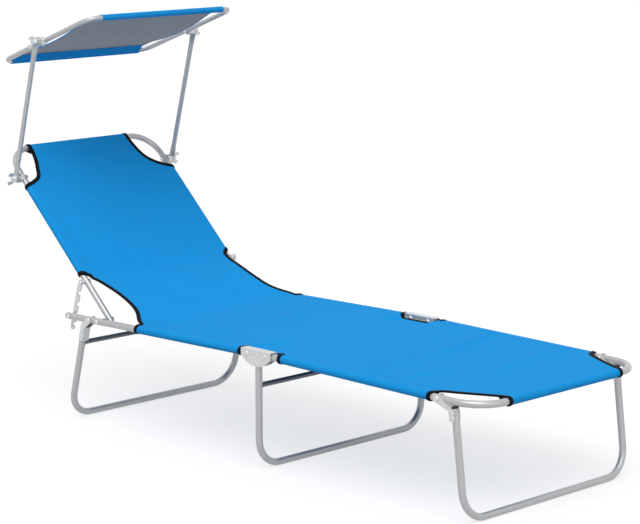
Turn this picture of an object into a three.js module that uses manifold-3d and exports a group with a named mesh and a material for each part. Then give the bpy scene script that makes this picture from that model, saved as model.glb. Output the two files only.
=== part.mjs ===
// Sun lounger with a tilting canopy: folding steel tube frame, sling cloth, millimetres, +Z up.
// The foot end points to -Y, the head end to +Y. Left is -X and right is +X.
// The origin lies on the floor under the middle of the object.
import * as THREE from 'three';
import { mergeVertices } from 'three/addons/utils/BufferGeometryUtils.js';
import Module from 'manifold-3d';

const wasm = await Module();
wasm.setup();

const DEG = Math.PI / 180;
const SIDES = [['left', -1], ['right', 1]];

// Running clearance between pieces, and the overrun of every cutting tool
const clearance = 0.3;
const overrun = 30;

// Facets of the tubes, their bends and their domed ends
const tubeSides = 12;
const bendSteps = 5;
const domeSteps = 2;
const turnedSides = 12;
const weldDistance = 1e-4;

// Seat and foot frame
const frameRadius = 8.5;
const frameHalfWidth = 281.5;
const hingeHeight = 280;
const hingeHalfSpan = 30;
const archAngle = 0.86 * DEG;
const seatLength = 686;
const footLength = 660;
const footCornerRadius = 80;

// Rivets, shared by every pivot of the frame
const rivetShankRadius = 3;
const rivetHeadRadius = 6.5;
const rivetHeadHeight = 2.6;

// Sheet steel of the pressed brackets
const plateThickness = 2;

// Centre hinge bracket and centre leg
const bracketHalfLength = 50;
const bracketCornerDrop = 7;
const bracketShoulderHalf = 33;
const bracketShoulderDrop = 20;
const bracketBottomHalf = 14;
const bracketBottomDrop = 28;
const centreLegTopDrop = 5;
const centreBraceHeight = 205;

// All three legs are bent from the frame's tube
const legBendRadius = 65;
const braceRadius = 6.2;
const capHeight = 4;
const capDomeHeight = 1.5;

// Rear leg, its pivot measured from the seat tubes' rear ends
const rearPivotInset = 99;
const rearSplay = 14.6 * DEG;
const rearOffset = 19.5;
const rearBraceHeight = 208;
const rearSleeveTop = 24;
const rearSleeveBottom = 62;

// Front leg, its pivot measured from the foot end
const frontPivotInset = 120;
const frontSplay = 7.03 * DEG;
const frontOffset = 44;
const frontSleeveTop = 24;
const frontSleeveBottom = 48;

// Pressed leg brackets: the eye round the pivot and how far the cheeks lap over the leg
const legEyeRadius = 9.5;
const legEyeFrom = 30 * DEG;
const legEyeTo = 215 * DEG;
const legCheekLap = 4;

// Backrest: its pivot from the seat tubes' rear ends, its tubes inside the seat tubes,
// the studs from the pivot and the clamps from its upper end
const backrestPivotInset = 130.4;
const backrestAngle = 43.7 * DEG;
const backrestRadius = 8;
const backrestInset = 36.5;
const backrestLength = 567;
const backrestTail = 14;
const backrestCornerRadius = 70;
const studDistance = 124.2;
const clampInset = 92.3;
const spacerRadius = 6;

// Notched support struts, between the backrest's tubes and the seat tubes
const strutPlaneShare = 0.65;
const strutThickness = 3;
const strutLean = 15.9 * DEG;
const strutHalfWidth = 7.5;
const strutLength = 124;
const notchDistances = [30.3, 60.3, 90.3, 116.5];
const notchHalfWidth = 4.5;
const notchDepth = 9;
const notchRise = 4;
const strutPinInset = 18;
const strutPinRadius = 4;
const strutPinGap = 0.5;

// Canopy arms outside the backrest's tubes, flattened at both ends
const armOffset = 24;
const armAngle = 105.2 * DEG;
const armLength = 373.4;
const armRadius = 6.5;
const armFlatHalfWidth = 10;
const armFlatHalfThickness = 1.7;
const armFlatLength = 20;
const armTaperLength = 26;
const armEndAngles = [80, 55, 30, 0];
const armTaperShares = [0, 0.25, 0.5, 0.75, 1];
const armFlatSharpness = 0.35;

// Canopy frame
const canopyTilt = 20.1 * DEG;
const canopyRadius = 6.5;
const canopyInset = 1;
const canopyFront = 196;
const canopyRear = 185;
const canopyCornerRadius = 38;

// Clamps between the tubes and the arms
const boltRadius = 3;
const boltHeadRadius = 6.5;
const boltHeadHeight = 4.5;
const boltEndChamfer = 1.5;
const saddleRadius = 13;
const saddleWrap = 4;
const discThickness = 3.4;
const toothDepth = 1.6;
const toothBore = 4.5;
const toothCount = 16;
const wingHubRadius = 10;
const wingHubTopRadius = 7.5;
const wingHubHeight = 10;
const wingSpan = 17;
const wingRise = 23;
const wingTipRadius = 6;
const wingThickness = 3;
const boltEndLength = 11;

// Sling cloth, its edges measured in from the tubes that it hangs on
const clothThickness = 1.2;
const seatClothInset = 286;
const seatClothNotchHalf = 28;
const footClothNotchHalf = 46;
const hingeClothInset = 19.5;
const seatClothNotchInner = 21;
const footClothNotchInner = 32;
const footClothSideInset = 134;
const footHemInset = 85.5;
const bridgeTop = 148;
const bridgeInsetNearSeat = 56.5;
const bridgeInsetNearBack = 40;
const bridgeReachNearSeat = 60;
const bridgeReachNearBack = 170;
const backClothSideInset = 137;
const backHemInset = 80;
const canopyHemInset = 40;
const canopyEdgeInset = 42;

// Values that follow from the ones above
const boreRadius = rivetShankRadius + clearance;
const boltBore = boltRadius + clearance;
const cheekInner = frameRadius + clearance;
const cheekOuter = cheekInner + plateThickness;
const clothOverFrame = frameRadius + clearance;
const clothOverBack = backrestRadius + clearance;
const clothOverCanopy = canopyRadius + clearance;
const rearPivotDistance = seatLength - rearPivotInset;
const frontPivotDistance = footLength - frontPivotInset;
const backrestPivotDistance = seatLength - backrestPivotInset;
const strutPinDistance = seatLength - strutPinInset;
const seatClothRear = seatLength - seatClothInset;
const clampDistance = backrestLength - clampInset;
const backrestHalfWidth = frameHalfWidth - backrestInset;
const canopyHalfWidth = backrestHalfWidth - canopyInset;
const armPlane = backrestHalfWidth + armOffset;
const besideBackrest = backrestHalfWidth + backrestRadius;
const strutPlane = THREE.MathUtils.lerp(besideBackrest, frameHalfWidth - frameRadius, strutPlaneShare);
const hingeClothHalfWidth = frameHalfWidth - hingeClothInset;
const footClothSideEnd = footLength - footClothSideInset;
const footHemHalfWidth = frameHalfWidth - footHemInset;
const bridgeWidthNearSeat = frameHalfWidth - bridgeInsetNearSeat;
const bridgeWidthNearBack = backrestHalfWidth - bridgeInsetNearBack;
const backClothSideEnd = backrestLength - backClothSideInset;
const backHemHalfWidth = backrestHalfWidth - backHemInset;
const canopyHemHalfWidth = canopyHalfWidth - canopyHemInset;
const canopyEdgeBulge = canopyHalfWidth - canopyEdgeInset;

const MATERIALS = {
  frame: [0xc6cacf, 0.38, 0.75],
  plate: [0xd6d9dc, 0.35, 0.85],
  bright: [0xd9dcdf, 0.3, 0.9],
  cap: [0x17181a, 0.6, 0.0],
  seatCloth: [0x2192de, 0.8, 0.0],
  backCloth: [0x1e8ad2, 0.8, 0.0],
  canopyCloth: [0x1671b4, 0.8, 0.0],
};

function place(parent, name, geometry, look) {
  const [color, roughness, metalness] = MATERIALS[look];
  const material = new THREE.MeshStandardMaterial({ color, roughness, metalness });
  const mesh = new THREE.Mesh(geometry, material);
  mesh.name = name;
  parent.add(mesh);
}

function body(parent, y, z, turn) {
  const group = new THREE.Group();
  group.position.set(0, y, z);
  group.rotation.x = turn;
  parent.add(group);
  return group;
}

// Booleans on closed meshes
function solid(geometry) {
  const bare = geometry.clone();
  bare.deleteAttribute('normal');
  bare.deleteAttribute('uv');
  const merged = mergeVertices(bare, weldDistance);
  const vertProperties = new Float32Array(merged.attributes.position.array);
  const triVerts = new Uint32Array(merged.index.array);
  return new wasm.Manifold(new wasm.Mesh({ numProp: 3, vertProperties, triVerts }));
}

function geometryOf(manifold) {
  const mesh = manifold.getMesh();
  const geometry = new THREE.BufferGeometry();
  geometry.setAttribute('position', new THREE.BufferAttribute(mesh.vertProperties, 3));
  geometry.setIndex(new THREE.BufferAttribute(mesh.triVerts, 1));
  geometry.computeVertexNormals();
  return geometry;
}

function join(...geometries) {
  return geometryOf(geometries.map(solid).reduce((whole, piece) => whole.add(piece)));
}

function cut(geometry, ...tools) {
  return geometryOf(tools.map(solid).reduce((rest, tool) => rest.subtract(tool), solid(geometry)));
}

// A closed skin over equal rings of points, capped at both ends or closed on itself
function loft(rings, closed = false) {
  const count = rings[0].length;
  const points = rings.flat();
  const index = [];
  const spans = closed ? rings.length : rings.length - 1;
  for (let ring = 0; ring < spans; ring += 1) {
    const here = ring * count;
    const next = ((ring + 1) % rings.length) * count;
    for (let side = 0; side < count; side += 1) {
      const turn = (side + 1) % count;
      index.push(here + side, here + turn, next + turn);
      index.push(here + side, next + turn, next + side);
    }
  }
  if (!closed) {
    const last = (rings.length - 1) * count;
    for (let side = 1; side < count - 1; side += 1) {
      index.push(0, side + 1, side);
      index.push(last, last + side, last + side + 1);
    }
  }
  const geometry = new THREE.BufferGeometry();
  const flat = points.flatMap((p) => p.toArray());
  geometry.setAttribute('position', new THREE.Float32BufferAttribute(flat, 3));
  geometry.setIndex(index);
  geometry.computeVertexNormals();
  return geometry;
}

// Stations along straight runs joined by round bends
function bentPath(corners, bendRadius, closed = false) {
  const stations = [];
  const count = corners.length;
  corners.forEach((corner, k) => {
    const before = corners[(k + count - 1) % count];
    const after = corners[(k + 1) % count];
    const into = corner.clone().sub(before).normalize();
    const out = after.clone().sub(corner).normalize();
    if (!closed && k === 0) {
      stations.push({ point: corner, along: out });
    } else if (!closed && k === count - 1) {
      stations.push({ point: corner, along: into });
    } else {
      const turn = into.angleTo(out);
      const axis = into.clone().cross(out).normalize();
      const toCentre = out.clone().sub(into).normalize().multiplyScalar(bendRadius / Math.cos(turn / 2));
      const centre = corner.clone().add(toCentre);
      const start = corner.clone().addScaledVector(into, -bendRadius * Math.tan(turn / 2)).sub(centre);
      for (let step = 0; step <= bendSteps; step += 1) {
        const angle = turn * step / bendSteps;
        const point = start.clone().applyAxisAngle(axis, angle).add(centre);
        stations.push({ point, along: into.clone().applyAxisAngle(axis, angle) });
      }
    }
  });
  return stations;
}

function ringAt(point, along, normal, radius) {
  const across = along.clone().cross(normal);
  return Array.from({ length: tubeSides }, (_, k) => {
    const angle = 2 * Math.PI * k / tubeSides;
    const out = normal.clone().multiplyScalar(Math.cos(angle)).addScaledVector(across, Math.sin(angle));
    return point.clone().addScaledVector(out, radius);
  });
}

// Round tube through stations; dome is the height of its closed ends
function tube(stations, normal, radius, dome = 0, closed = false) {
  const rings = stations.map(({ point, along }) => ringAt(point, along, normal, radius));
  if (dome > 0) {
    const first = stations[0];
    const last = stations[stations.length - 1];
    for (let step = 1; step <= domeSteps; step += 1) {
      const angle = (Math.PI / 2) * step / (domeSteps + 0.5);
      const reach = dome * Math.sin(angle);
      const narrow = radius * Math.cos(angle);
      const before = first.point.clone().addScaledVector(first.along, -reach);
      const after = last.point.clone().addScaledVector(last.along, reach);
      rings.unshift(ringAt(before, first.along, normal, narrow));
      rings.push(ringAt(after, last.along, normal, narrow));
    }
  }
  return loft(rings, closed);
}

const v = (x, y, z) => new THREE.Vector3(x, y, z);
const ALONG_X = v(1, 0, 0);
const ALONG_Y = v(0, 1, 0);
const ALONG_Z = v(0, 0, 1);

// A side view (y, z) drawn out along X, and a turned profile [radius, x] about X
function prismX(shape, from, to) {
  const depth = to - from;
  const geometry = new THREE.ExtrudeGeometry(shape, { depth, bevelEnabled: false, curveSegments: 8 });
  geometry.applyMatrix4(new THREE.Matrix4().makeBasis(ALONG_Y, ALONG_Z, ALONG_X));
  return geometry.translate(from, 0, 0);
}

function prismZ(shape, from, to) {
  const depth = to - from;
  const geometry = new THREE.ExtrudeGeometry(shape, { depth, bevelEnabled: false, curveSegments: 10 });
  return geometry.translate(0, 0, from);
}

function turnedX(profile, sides = turnedSides) {
  const points = profile.map(([radius, x]) => new THREE.Vector2(radius, x));
  return new THREE.LatheGeometry(points, sides).rotateZ(-Math.PI / 2);
}

function drill(radius, from, to, y, z) {
  return turnedX([[0, from], [radius, from], [radius, to], [0, to]]).translate(0, y, z);
}

function outline(points) {
  return new THREE.Shape(points.map(([a, b]) => new THREE.Vector2(a, b)));
}

// The right piece turned over to the left side
function handed(geometry, side) {
  if (side > 0) {
    return geometry;
  }
  const mirrored = geometry.index ? geometry.toNonIndexed() : geometry.clone();
  mirrored.scale(-1, 1, 1);
  const position = mirrored.attributes.position;
  for (let k = 0; k < position.count; k += 3) {
    const first = v(0, 0, 0).fromBufferAttribute(position, k);
    const second = v(0, 0, 0).fromBufferAttribute(position, k + 1);
    position.setXYZ(k, second.x, second.y, second.z);
    position.setXYZ(k + 1, first.x, first.y, first.z);
  }
  mirrored.computeVertexNormals();
  return mirrored;
}

function domedHead(radius, height, base, away) {
  const shares = [1, 0.8, 0];
  return shares.map((share) => [radius * share, base + away * height * Math.sqrt(1 - share * share)]);
}

// A rivet from an inner to an outer head, lying along X
function rivet(inner, outer, collar = []) {
  const head = domedHead(rivetHeadRadius, rivetHeadHeight, outer, 1);
  const tail = domedHead(rivetHeadRadius, rivetHeadHeight, inner, -1).reverse();
  return turnedX([...tail, [rivetShankRadius, inner], ...collar, [rivetShankRadius, outer], ...head]);
}

// The rivet through a frame tube and the two cheeks of a bracket
function bracketRivet() {
  return rivet(frameHalfWidth - cheekOuter - clearance, frameHalfWidth + cheekOuter + clearance);
}

// Every body hangs on the one that carries it
const group = new THREE.Group();
const seatFrame = body(group, hingeHalfSpan, hingeHeight, -archAngle);
const centreLeg = body(group, 0, hingeHeight, 0);
const footFrame = body(group, -hingeHalfSpan, hingeHeight, archAngle);
const rearLeg = body(seatFrame, rearPivotDistance, 0, archAngle + rearSplay);
const frontLeg = body(footFrame, -frontPivotDistance, 0, -archAngle - frontSplay);
const backrest = body(seatFrame, backrestPivotDistance, 0, archAngle + backrestAngle);
const strut = body(backrest, studDistance, 0, strutLean - backrestAngle);
const arms = body(backrest, clampDistance, 0, armAngle - backrestAngle);
const canopy = body(arms, armLength, 0, -armAngle - canopyTilt);

function seatFramePieces() {
  const path = [v(0, 0, 0), v(0, seatLength - frameRadius, 0)];
  const straight = tube(bentPath(path, 0), ALONG_Z, frameRadius, frameRadius);
  const holes = [0, rearPivotDistance, backrestPivotDistance].map((y) => (
    drill(boreRadius, -overrun, overrun, y, 0)
  ));
  const pinHole = drill(strutPinRadius + clearance, -overrun, overrun, strutPinDistance, 0);
  for (const [name, side] of SIDES) {
    const bored = cut(straight, ...holes, pinHole).translate(side * frameHalfWidth, 0, 0);
    place(seatFrame, `seat_tube_${name}`, bored, 'frame');

    const outerFace = frameHalfWidth + frameRadius + clearance;
    const tip = strutPlane + strutThickness / 2 + strutPinGap;
    const head = domedHead(rivetHeadRadius, rivetHeadHeight, outerFace, 1);
    const pin = turnedX([[0, tip], [strutPinRadius, tip], [strutPinRadius, outerFace], ...head]);
    place(seatFrame, `strut_pin_${name}`, handed(pin.translate(0, strutPinDistance, 0), side), 'bright');

    const legRivet = bracketRivet().translate(0, rearPivotDistance, 0);
    place(seatFrame, `rear_leg_rivet_${name}`, handed(legRivet, side), 'bright');

    const spacerFrom = backrestHalfWidth + backrestRadius + clearance;
    const spacerTo = frameHalfWidth - frameRadius - clearance;
    const spacer = [[rivetShankRadius, spacerFrom], [spacerRadius, spacerFrom],
      [spacerRadius, spacerTo], [rivetShankRadius, spacerTo]];
    const pivot = rivet(backrestHalfWidth - backrestRadius - clearance, outerFace, spacer);
    const seated = handed(pivot.translate(0, backrestPivotDistance, 0), side);
    place(seatFrame, `backrest_pivot_${name}`, seated, 'bright');
  }
}

function centreLegPieces() {
  const half = bracketHalfLength;
  const top = cheekInner + plateThickness;
  const side = outline([[-half, top], [-half, -bracketCornerDrop],
    [-bracketShoulderHalf, -bracketShoulderDrop], [-bracketBottomHalf, -bracketBottomDrop],
    [bracketBottomHalf, -bracketBottomDrop], [bracketShoulderHalf, -bracketShoulderDrop],
    [half, -bracketCornerDrop], [half, top]]);
  const hollow = outline([[-half - overrun, cheekInner], [-half - overrun, -overrun - bracketBottomDrop],
    [half + overrun, -overrun - bracketBottomDrop], [half + overrun, cheekInner]]);
  const bracket = cut(prismX(side, -cheekOuter, cheekOuter), prismX(hollow, -cheekInner, cheekInner),
    ...[-hingeHalfSpan, hingeHalfSpan].map((y) => drill(boreRadius, -overrun, overrun, y, 0)));
  for (const [name, sign] of SIDES) {
    const seated = bracket.clone().translate(sign * frameHalfWidth, 0, 0);
    place(centreLeg, `hinge_bracket_${name}`, seated, 'plate');
    for (const [end, y] of [['seat', hingeHalfSpan], ['foot', -hingeHalfSpan]]) {
      const pin = bracketRivet().translate(0, y, 0);
      place(centreLeg, `hinge_rivet_${end}_${name}`, handed(pin, sign), 'bright');
    }
  }
  const bar = frameRadius - hingeHeight;
  place(centreLeg, 'centre_leg_tube', legTube(0, -centreLegTopDrop, bar), 'frame');
  place(centreLeg, 'centre_brace', legBrace(0, centreBraceHeight - hingeHeight), 'frame');
}

// A leg is one tube bent to a U, with its two tops in line and its bar on the floor
function legTube(y, top, bar) {
  const corners = [v(-frameHalfWidth, y, top), v(-frameHalfWidth, y, bar),
    v(frameHalfWidth, y, bar), v(frameHalfWidth, y, top)];
  return tube(bentPath(corners, legBendRadius), ALONG_Y, frameRadius);
}

// The brace is coped where it meets the leg
function legBrace(y, z) {
  const span = [v(-frameHalfWidth, y, z), v(frameHalfWidth, y, z)];
  const straight = tube(bentPath(span, 0), ALONG_Y, braceRadius);
  const copes = SIDES.map(([, side]) => {
    const ends = [v(side * frameHalfWidth, y, z - overrun), v(side * frameHalfWidth, y, z + overrun)];
    return tube(bentPath(ends, 0), ALONG_Y, frameRadius + clearance);
  });
  const beyond = SIDES.map(([, side]) => {
    const ends = [v(side * frameHalfWidth, y, z), v(side * (frameHalfWidth + overrun), y, z)];
    return tube(bentPath(ends, 0), ALONG_Y, braceRadius + overrun);
  });
  return cut(straight, ...copes, ...beyond);
}

// Where a leg's cap meets the underside of the tube that the leg hangs on
function capTop(offset, lean) {
  return ((offset + frameRadius) * Math.sin(lean) + frameRadius + clearance) / Math.cos(lean);
}

function legBar(pivotDistance, offset, splay) {
  const pivotHeight = hingeHeight - pivotDistance * Math.sin(archAngle);
  return (frameRadius - pivotHeight - offset * Math.sin(splay)) / Math.cos(splay);
}

function legCap(y, top) {
  const shoulder = top - capDomeHeight;
  const profile = [[0, top - capHeight], [frameRadius, top - capHeight], [frameRadius, shoulder],
    [frameRadius - capDomeHeight, top], [0, top]];
  const points = profile.map(([radius, z]) => new THREE.Vector2(radius, z));
  return new THREE.LatheGeometry(points, turnedSides).rotateX(Math.PI / 2).translate(0, y, 0);
}

// Channel bracket from the pivot's eye to a sleeve on the inner side of the leg
function legBracket(offset, sleeveTop, sleeveBottom) {
  const web = offset - frameRadius - clearance - plateThickness;
  const lap = offset + legCheekLap;
  const cheek = new THREE.Shape();
  cheek.moveTo(web, -sleeveBottom);
  cheek.lineTo(lap, -sleeveBottom);
  cheek.lineTo(lap, -sleeveTop);
  cheek.lineTo(legEyeRadius * Math.cos(legEyeFrom), legEyeRadius * Math.sin(legEyeFrom));
  cheek.absarc(0, 0, legEyeRadius, legEyeFrom, legEyeTo, false);
  cheek.lineTo(web, -sleeveTop - plateThickness);
  cheek.closePath();
  const inner = web + plateThickness;
  const far = lap + overrun;
  const hollow = outline([[inner, -sleeveBottom - overrun], [far, -sleeveBottom - overrun],
    [far, overrun], [-far, overrun], [-far, -sleeveTop], [inner, -sleeveTop]]);
  return cut(prismX(cheek, -cheekOuter, cheekOuter), prismX(hollow, -cheekInner, cheekInner),
    drill(boreRadius, -overrun, overrun, 0, 0));
}

function footFramePieces() {
  const corners = [v(-frameHalfWidth, 0, 0), v(-frameHalfWidth, -footLength, 0),
    v(frameHalfWidth, -footLength, 0), v(frameHalfWidth, 0, 0)];
  const bent = tube(bentPath(corners, footCornerRadius), ALONG_Z, frameRadius, frameRadius);
  const far = frameHalfWidth + overrun;
  const holes = [0, -frontPivotDistance].map((y) => drill(boreRadius, -far, far, y, 0));
  place(footFrame, 'foot_tube', cut(bent, ...holes), 'frame');
  for (const [name, side] of SIDES) {
    const seated = handed(bracketRivet().translate(0, -frontPivotDistance, 0), side);
    place(footFrame, `front_leg_rivet_${name}`, seated, 'bright');
  }
}

function rearLegPieces() {
  const top = -capTop(rearOffset, archAngle + rearSplay);
  const bar = legBar(rearPivotDistance, rearOffset, rearSplay);
  const brace = bar + (rearBraceHeight - frameRadius) / Math.cos(rearSplay);
  place(rearLeg, 'rear_leg_tube', legTube(rearOffset, top - capHeight - clearance, bar), 'frame');
  place(rearLeg, 'rear_brace', legBrace(rearOffset, brace), 'frame');
  const bracket = legBracket(rearOffset, rearSleeveTop, rearSleeveBottom);
  for (const [name, side] of SIDES) {
    place(rearLeg, `rear_bracket_${name}`, bracket.clone().translate(side * frameHalfWidth, 0, 0), 'plate');
    const cap = legCap(rearOffset, top).translate(side * frameHalfWidth, 0, 0);
    place(rearLeg, `rear_cap_${name}`, cap, 'cap');
  }
}

function frontLegPieces() {
  const top = -capTop(frontOffset, archAngle + frontSplay);
  const bar = legBar(frontPivotDistance, frontOffset, frontSplay);
  place(frontLeg, 'front_leg_tube', legTube(-frontOffset, top - capHeight - clearance, bar), 'frame');
  const bracket = legBracket(frontOffset, frontSleeveTop, frontSleeveBottom).rotateZ(Math.PI);
  for (const [name, side] of SIDES) {
    const seated = bracket.clone().translate(side * frameHalfWidth, 0, 0);
    place(frontLeg, `front_bracket_${name}`, seated, 'plate');
    const cap = legCap(-frontOffset, top).translate(side * frameHalfWidth, 0, 0);
    place(frontLeg, `front_cap_${name}`, cap, 'cap');
  }
}

function backrestPieces() {
  const corners = [v(-backrestHalfWidth, 0, 0), v(-backrestHalfWidth, backrestLength, 0),
    v(backrestHalfWidth, backrestLength, 0), v(backrestHalfWidth, 0, 0)];
  const tail = backrestTail - backrestRadius;
  corners[0].y -= tail;
  corners[3].y -= tail;
  const bent = tube(bentPath(corners, backrestCornerRadius), ALONG_Z, backrestRadius, backrestRadius);
  const far = backrestHalfWidth + overrun;
  const holes = [0, studDistance].map((y) => drill(boreRadius, -far, far, y, 0));
  const boltHole = drill(boltBore, -far, far, clampDistance, 0);
  place(backrest, 'backrest_tube', cut(bent, ...holes, boltHole), 'frame');

  for (const [name, side] of SIDES) {
    const inner = backrestHalfWidth - backrestRadius - clearance;
    const shoulder = strutPlane - strutThickness / 2 - clearance;
    const outer = strutPlane + strutThickness / 2 + clearance;
    const spacerFrom = backrestHalfWidth + backrestRadius + clearance;
    const spacer = [[rivetShankRadius, spacerFrom], [spacerRadius, spacerFrom],
      [spacerRadius, shoulder], [rivetShankRadius, shoulder]];
    const stud = rivet(inner, outer, spacer).translate(0, studDistance, 0);
    place(backrest, `strut_stud_${name}`, handed(stud, side), 'bright');
    clampPieces(backrest, `lower_${name}`, side, backrestHalfWidth, backrestRadius, clampDistance, 0);
  }
}

// A ring of radial teeth whose crests lie in one plane and whose valleys deepen outwards
function toothedRing(back, crest, towards) {
  const rings = [];
  for (let step = 0; step < 2 * toothCount; step += 1) {
    const angle = towards * Math.PI * step / toothCount;
    const valley = step % 2 === 1;
    const innerFront = valley ? crest - towards * toothDepth * toothBore / saddleRadius : crest;
    const outerFront = valley ? crest - towards * toothDepth : crest;
    const at = (radius, x) => v(x, radius * Math.cos(angle), radius * Math.sin(angle));
    rings.push([at(toothBore, innerFront), at(saddleRadius, outerFront), at(saddleRadius, back),
      at(toothBore, back)]);
  }
  return loft(rings, true);
}

// The arm's inner flat face, and the crests of the two toothed faces between it and the tube
const armFace = armPlane - armFlatHalfThickness;
const discCrest = armFace - clearance - discThickness;
const saddleCrest = discCrest - clearance;

// The saddle turns with its tube. The bolt runs through the tube, the saddle, the disc and the arm,
// and turns with the arm, as the wing nut's body does.
function clampPieces(carrier, level, side, tubePlane, tubeRadius, distance, armDistance) {
  const valleyBack = saddleCrest - toothDepth - plateThickness;
  const horns = tubePlane + tubeRadius - saddleWrap;
  const joint = valleyBack + plateThickness / 2;
  const hub = turnedX([[0, horns], [saddleRadius, horns], [saddleRadius, joint], [0, joint]]);
  const seatPath = [v(tubePlane, -overrun, 0), v(tubePlane, overrun, 0)];
  const seat = tube(bentPath(seatPath, 0), ALONG_Z, tubeRadius + clearance);
  const blank = join(hub, toothedRing(valleyBack, saddleCrest, 1));
  const saddle = cut(blank, seat, drill(boltBore, 0, frameHalfWidth, 0, 0));
  place(carrier, `saddle_${level}`, handed(saddle, side).translate(0, distance, 0), 'bright');

  const headFace = tubePlane - tubeRadius - clearance;
  const end = armPlane + armFlatHalfThickness + clearance + boltEndLength;
  const head = turnedX([[0, headFace - boltHeadHeight], [boltHeadRadius, headFace - boltHeadHeight],
    [boltHeadRadius, headFace], [0, headFace]], 6);
  const shank = turnedX([[0, headFace - boltHeadHeight / 2], [boltRadius, headFace - boltHeadHeight / 2],
    [boltRadius, end - boltEndChamfer], [boltRadius / 2, end], [0, end]]);
  const bolt = join(head, shank);
  place(arms, `bolt_${level}`, handed(bolt, side).translate(0, armDistance, 0), 'bright');
  const nut = handed(wingNut(), side).translate(0, armDistance, 0);
  place(arms, `wing_nut_${level}`, nut, 'bright');
}

// A tapered hub with two ears that lean out to round tips
function wingNut() {
  const base = armPlane + armFlatHalfThickness + clearance;
  const hub = turnedX([[0, base], [wingHubRadius, base], [wingHubRadius, base + plateThickness],
    [wingHubTopRadius, base + wingHubHeight], [0, base + wingHubHeight]]);
  const rootOut = wingHubRadius - plateThickness / 2;
  const rootIn = wingHubTopRadius - plateThickness;
  const tip = base + wingRise - wingTipRadius;
  const centre = wingSpan - wingTipRadius;
  const ear = new THREE.Shape();
  ear.moveTo(base + plateThickness / 2, rootOut);
  ear.quadraticCurveTo(base + wingHubHeight, wingSpan, tip, wingSpan);
  ear.absarc(tip, centre, wingTipRadius, 90 * DEG, -60 * DEG, true);
  const neck = base + wingHubHeight + wingTipRadius;
  ear.quadraticCurveTo(neck, rootOut, base + wingHubHeight - plateThickness / 2, rootIn);
  ear.closePath();
  const ears = [0, Math.PI].map((turn) => {
    const plate = prismZ(ear, -wingThickness / 2, wingThickness / 2);
    return plate.rotateX(turn);
  });
  return cut(join(hub, ...ears), drill(boltBore, base - overrun, base + overrun, 0, 0));
}

// A flat bar hung on the backrest, with three open notches and a hooked end
function strutPieces() {
  const shape = new THREE.Shape();
  shape.moveTo(strutHalfWidth, 0);
  shape.absarc(0, 0, strutHalfWidth, 0, Math.PI, false);
  for (const distance of notchDistances) {
    shape.lineTo(-strutHalfWidth, -distance + notchHalfWidth + notchRise);
    const bottom = notchDepth - strutHalfWidth - notchHalfWidth;
    shape.lineTo(bottom, -distance + notchHalfWidth);
    shape.absarc(bottom, -distance, notchHalfWidth, 90 * DEG, -90 * DEG, true);
    shape.lineTo(-strutHalfWidth, -distance - notchHalfWidth + notchRise);
  }
  shape.lineTo(-strutHalfWidth, -strutLength);
  shape.absarc(0, -strutLength, strutHalfWidth, 180 * DEG, 360 * DEG, false);
  shape.closePath();
  const half = strutThickness / 2;
  const bar = cut(prismX(shape, strutPlane - half, strutPlane + half),
    drill(boreRadius, strutPlane - overrun, strutPlane + overrun, 0, 0));
  for (const [name, side] of SIDES) {
    place(strut, `strut_${name}`, handed(bar, side), 'plate');
  }
}

// The arm's section goes from a flat at the bolt to the round tube
function armSection(y, blend, halfWidth) {
  const thick = THREE.MathUtils.lerp(armFlatHalfThickness, armRadius, blend);
  const wide = THREE.MathUtils.lerp(halfWidth, armRadius, blend);
  const power = THREE.MathUtils.lerp(armFlatSharpness, 1, blend);
  return Array.from({ length: tubeSides }, (_, k) => {
    const angle = 2 * Math.PI * (k + 0.5) / tubeSides;
    const c = Math.cos(angle);
    const s = Math.sin(angle);
    const x = thick * Math.sign(c) * Math.abs(c) ** power;
    const z = wide * Math.sign(s) * Math.abs(s) ** power;
    return v(armPlane + x, y, -z);
  });
}

function armPieces() {
  const rings = [];
  for (const angle of armEndAngles) {
    const half = armFlatHalfWidth * Math.cos(angle * DEG);
    rings.push([-armFlatHalfWidth * Math.sin(angle * DEG), 0, half]);
  }
  for (const share of armTaperShares) {
    const blend = THREE.MathUtils.smoothstep(share, 0, 1);
    rings.push([armFlatLength + armTaperLength * share, blend, armFlatHalfWidth]);
  }
  const nearHalf = rings.map(([y, blend, half]) => armSection(y, blend, half));
  const farHalf = rings.map(([y, blend, half]) => armSection(armLength - y, blend, half)).reverse();
  const blank = loft([...nearHalf, ...farHalf]);
  const holes = [0, armLength].map((y) => drill(boltBore, armPlane - overrun, armPlane + overrun, y, 0));
  const bored = cut(blank, ...holes);
  const disc = toothedRing(armFace - clearance, discCrest, -1);
  for (const [name, side] of SIDES) {
    place(arms, `arm_${name}`, handed(bored, side), 'frame');
    place(arms, `disc_lower_${name}`, handed(disc, side), 'bright');
    place(arms, `disc_upper_${name}`, handed(disc, side).clone().translate(0, armLength, 0), 'bright');
  }
}

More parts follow.
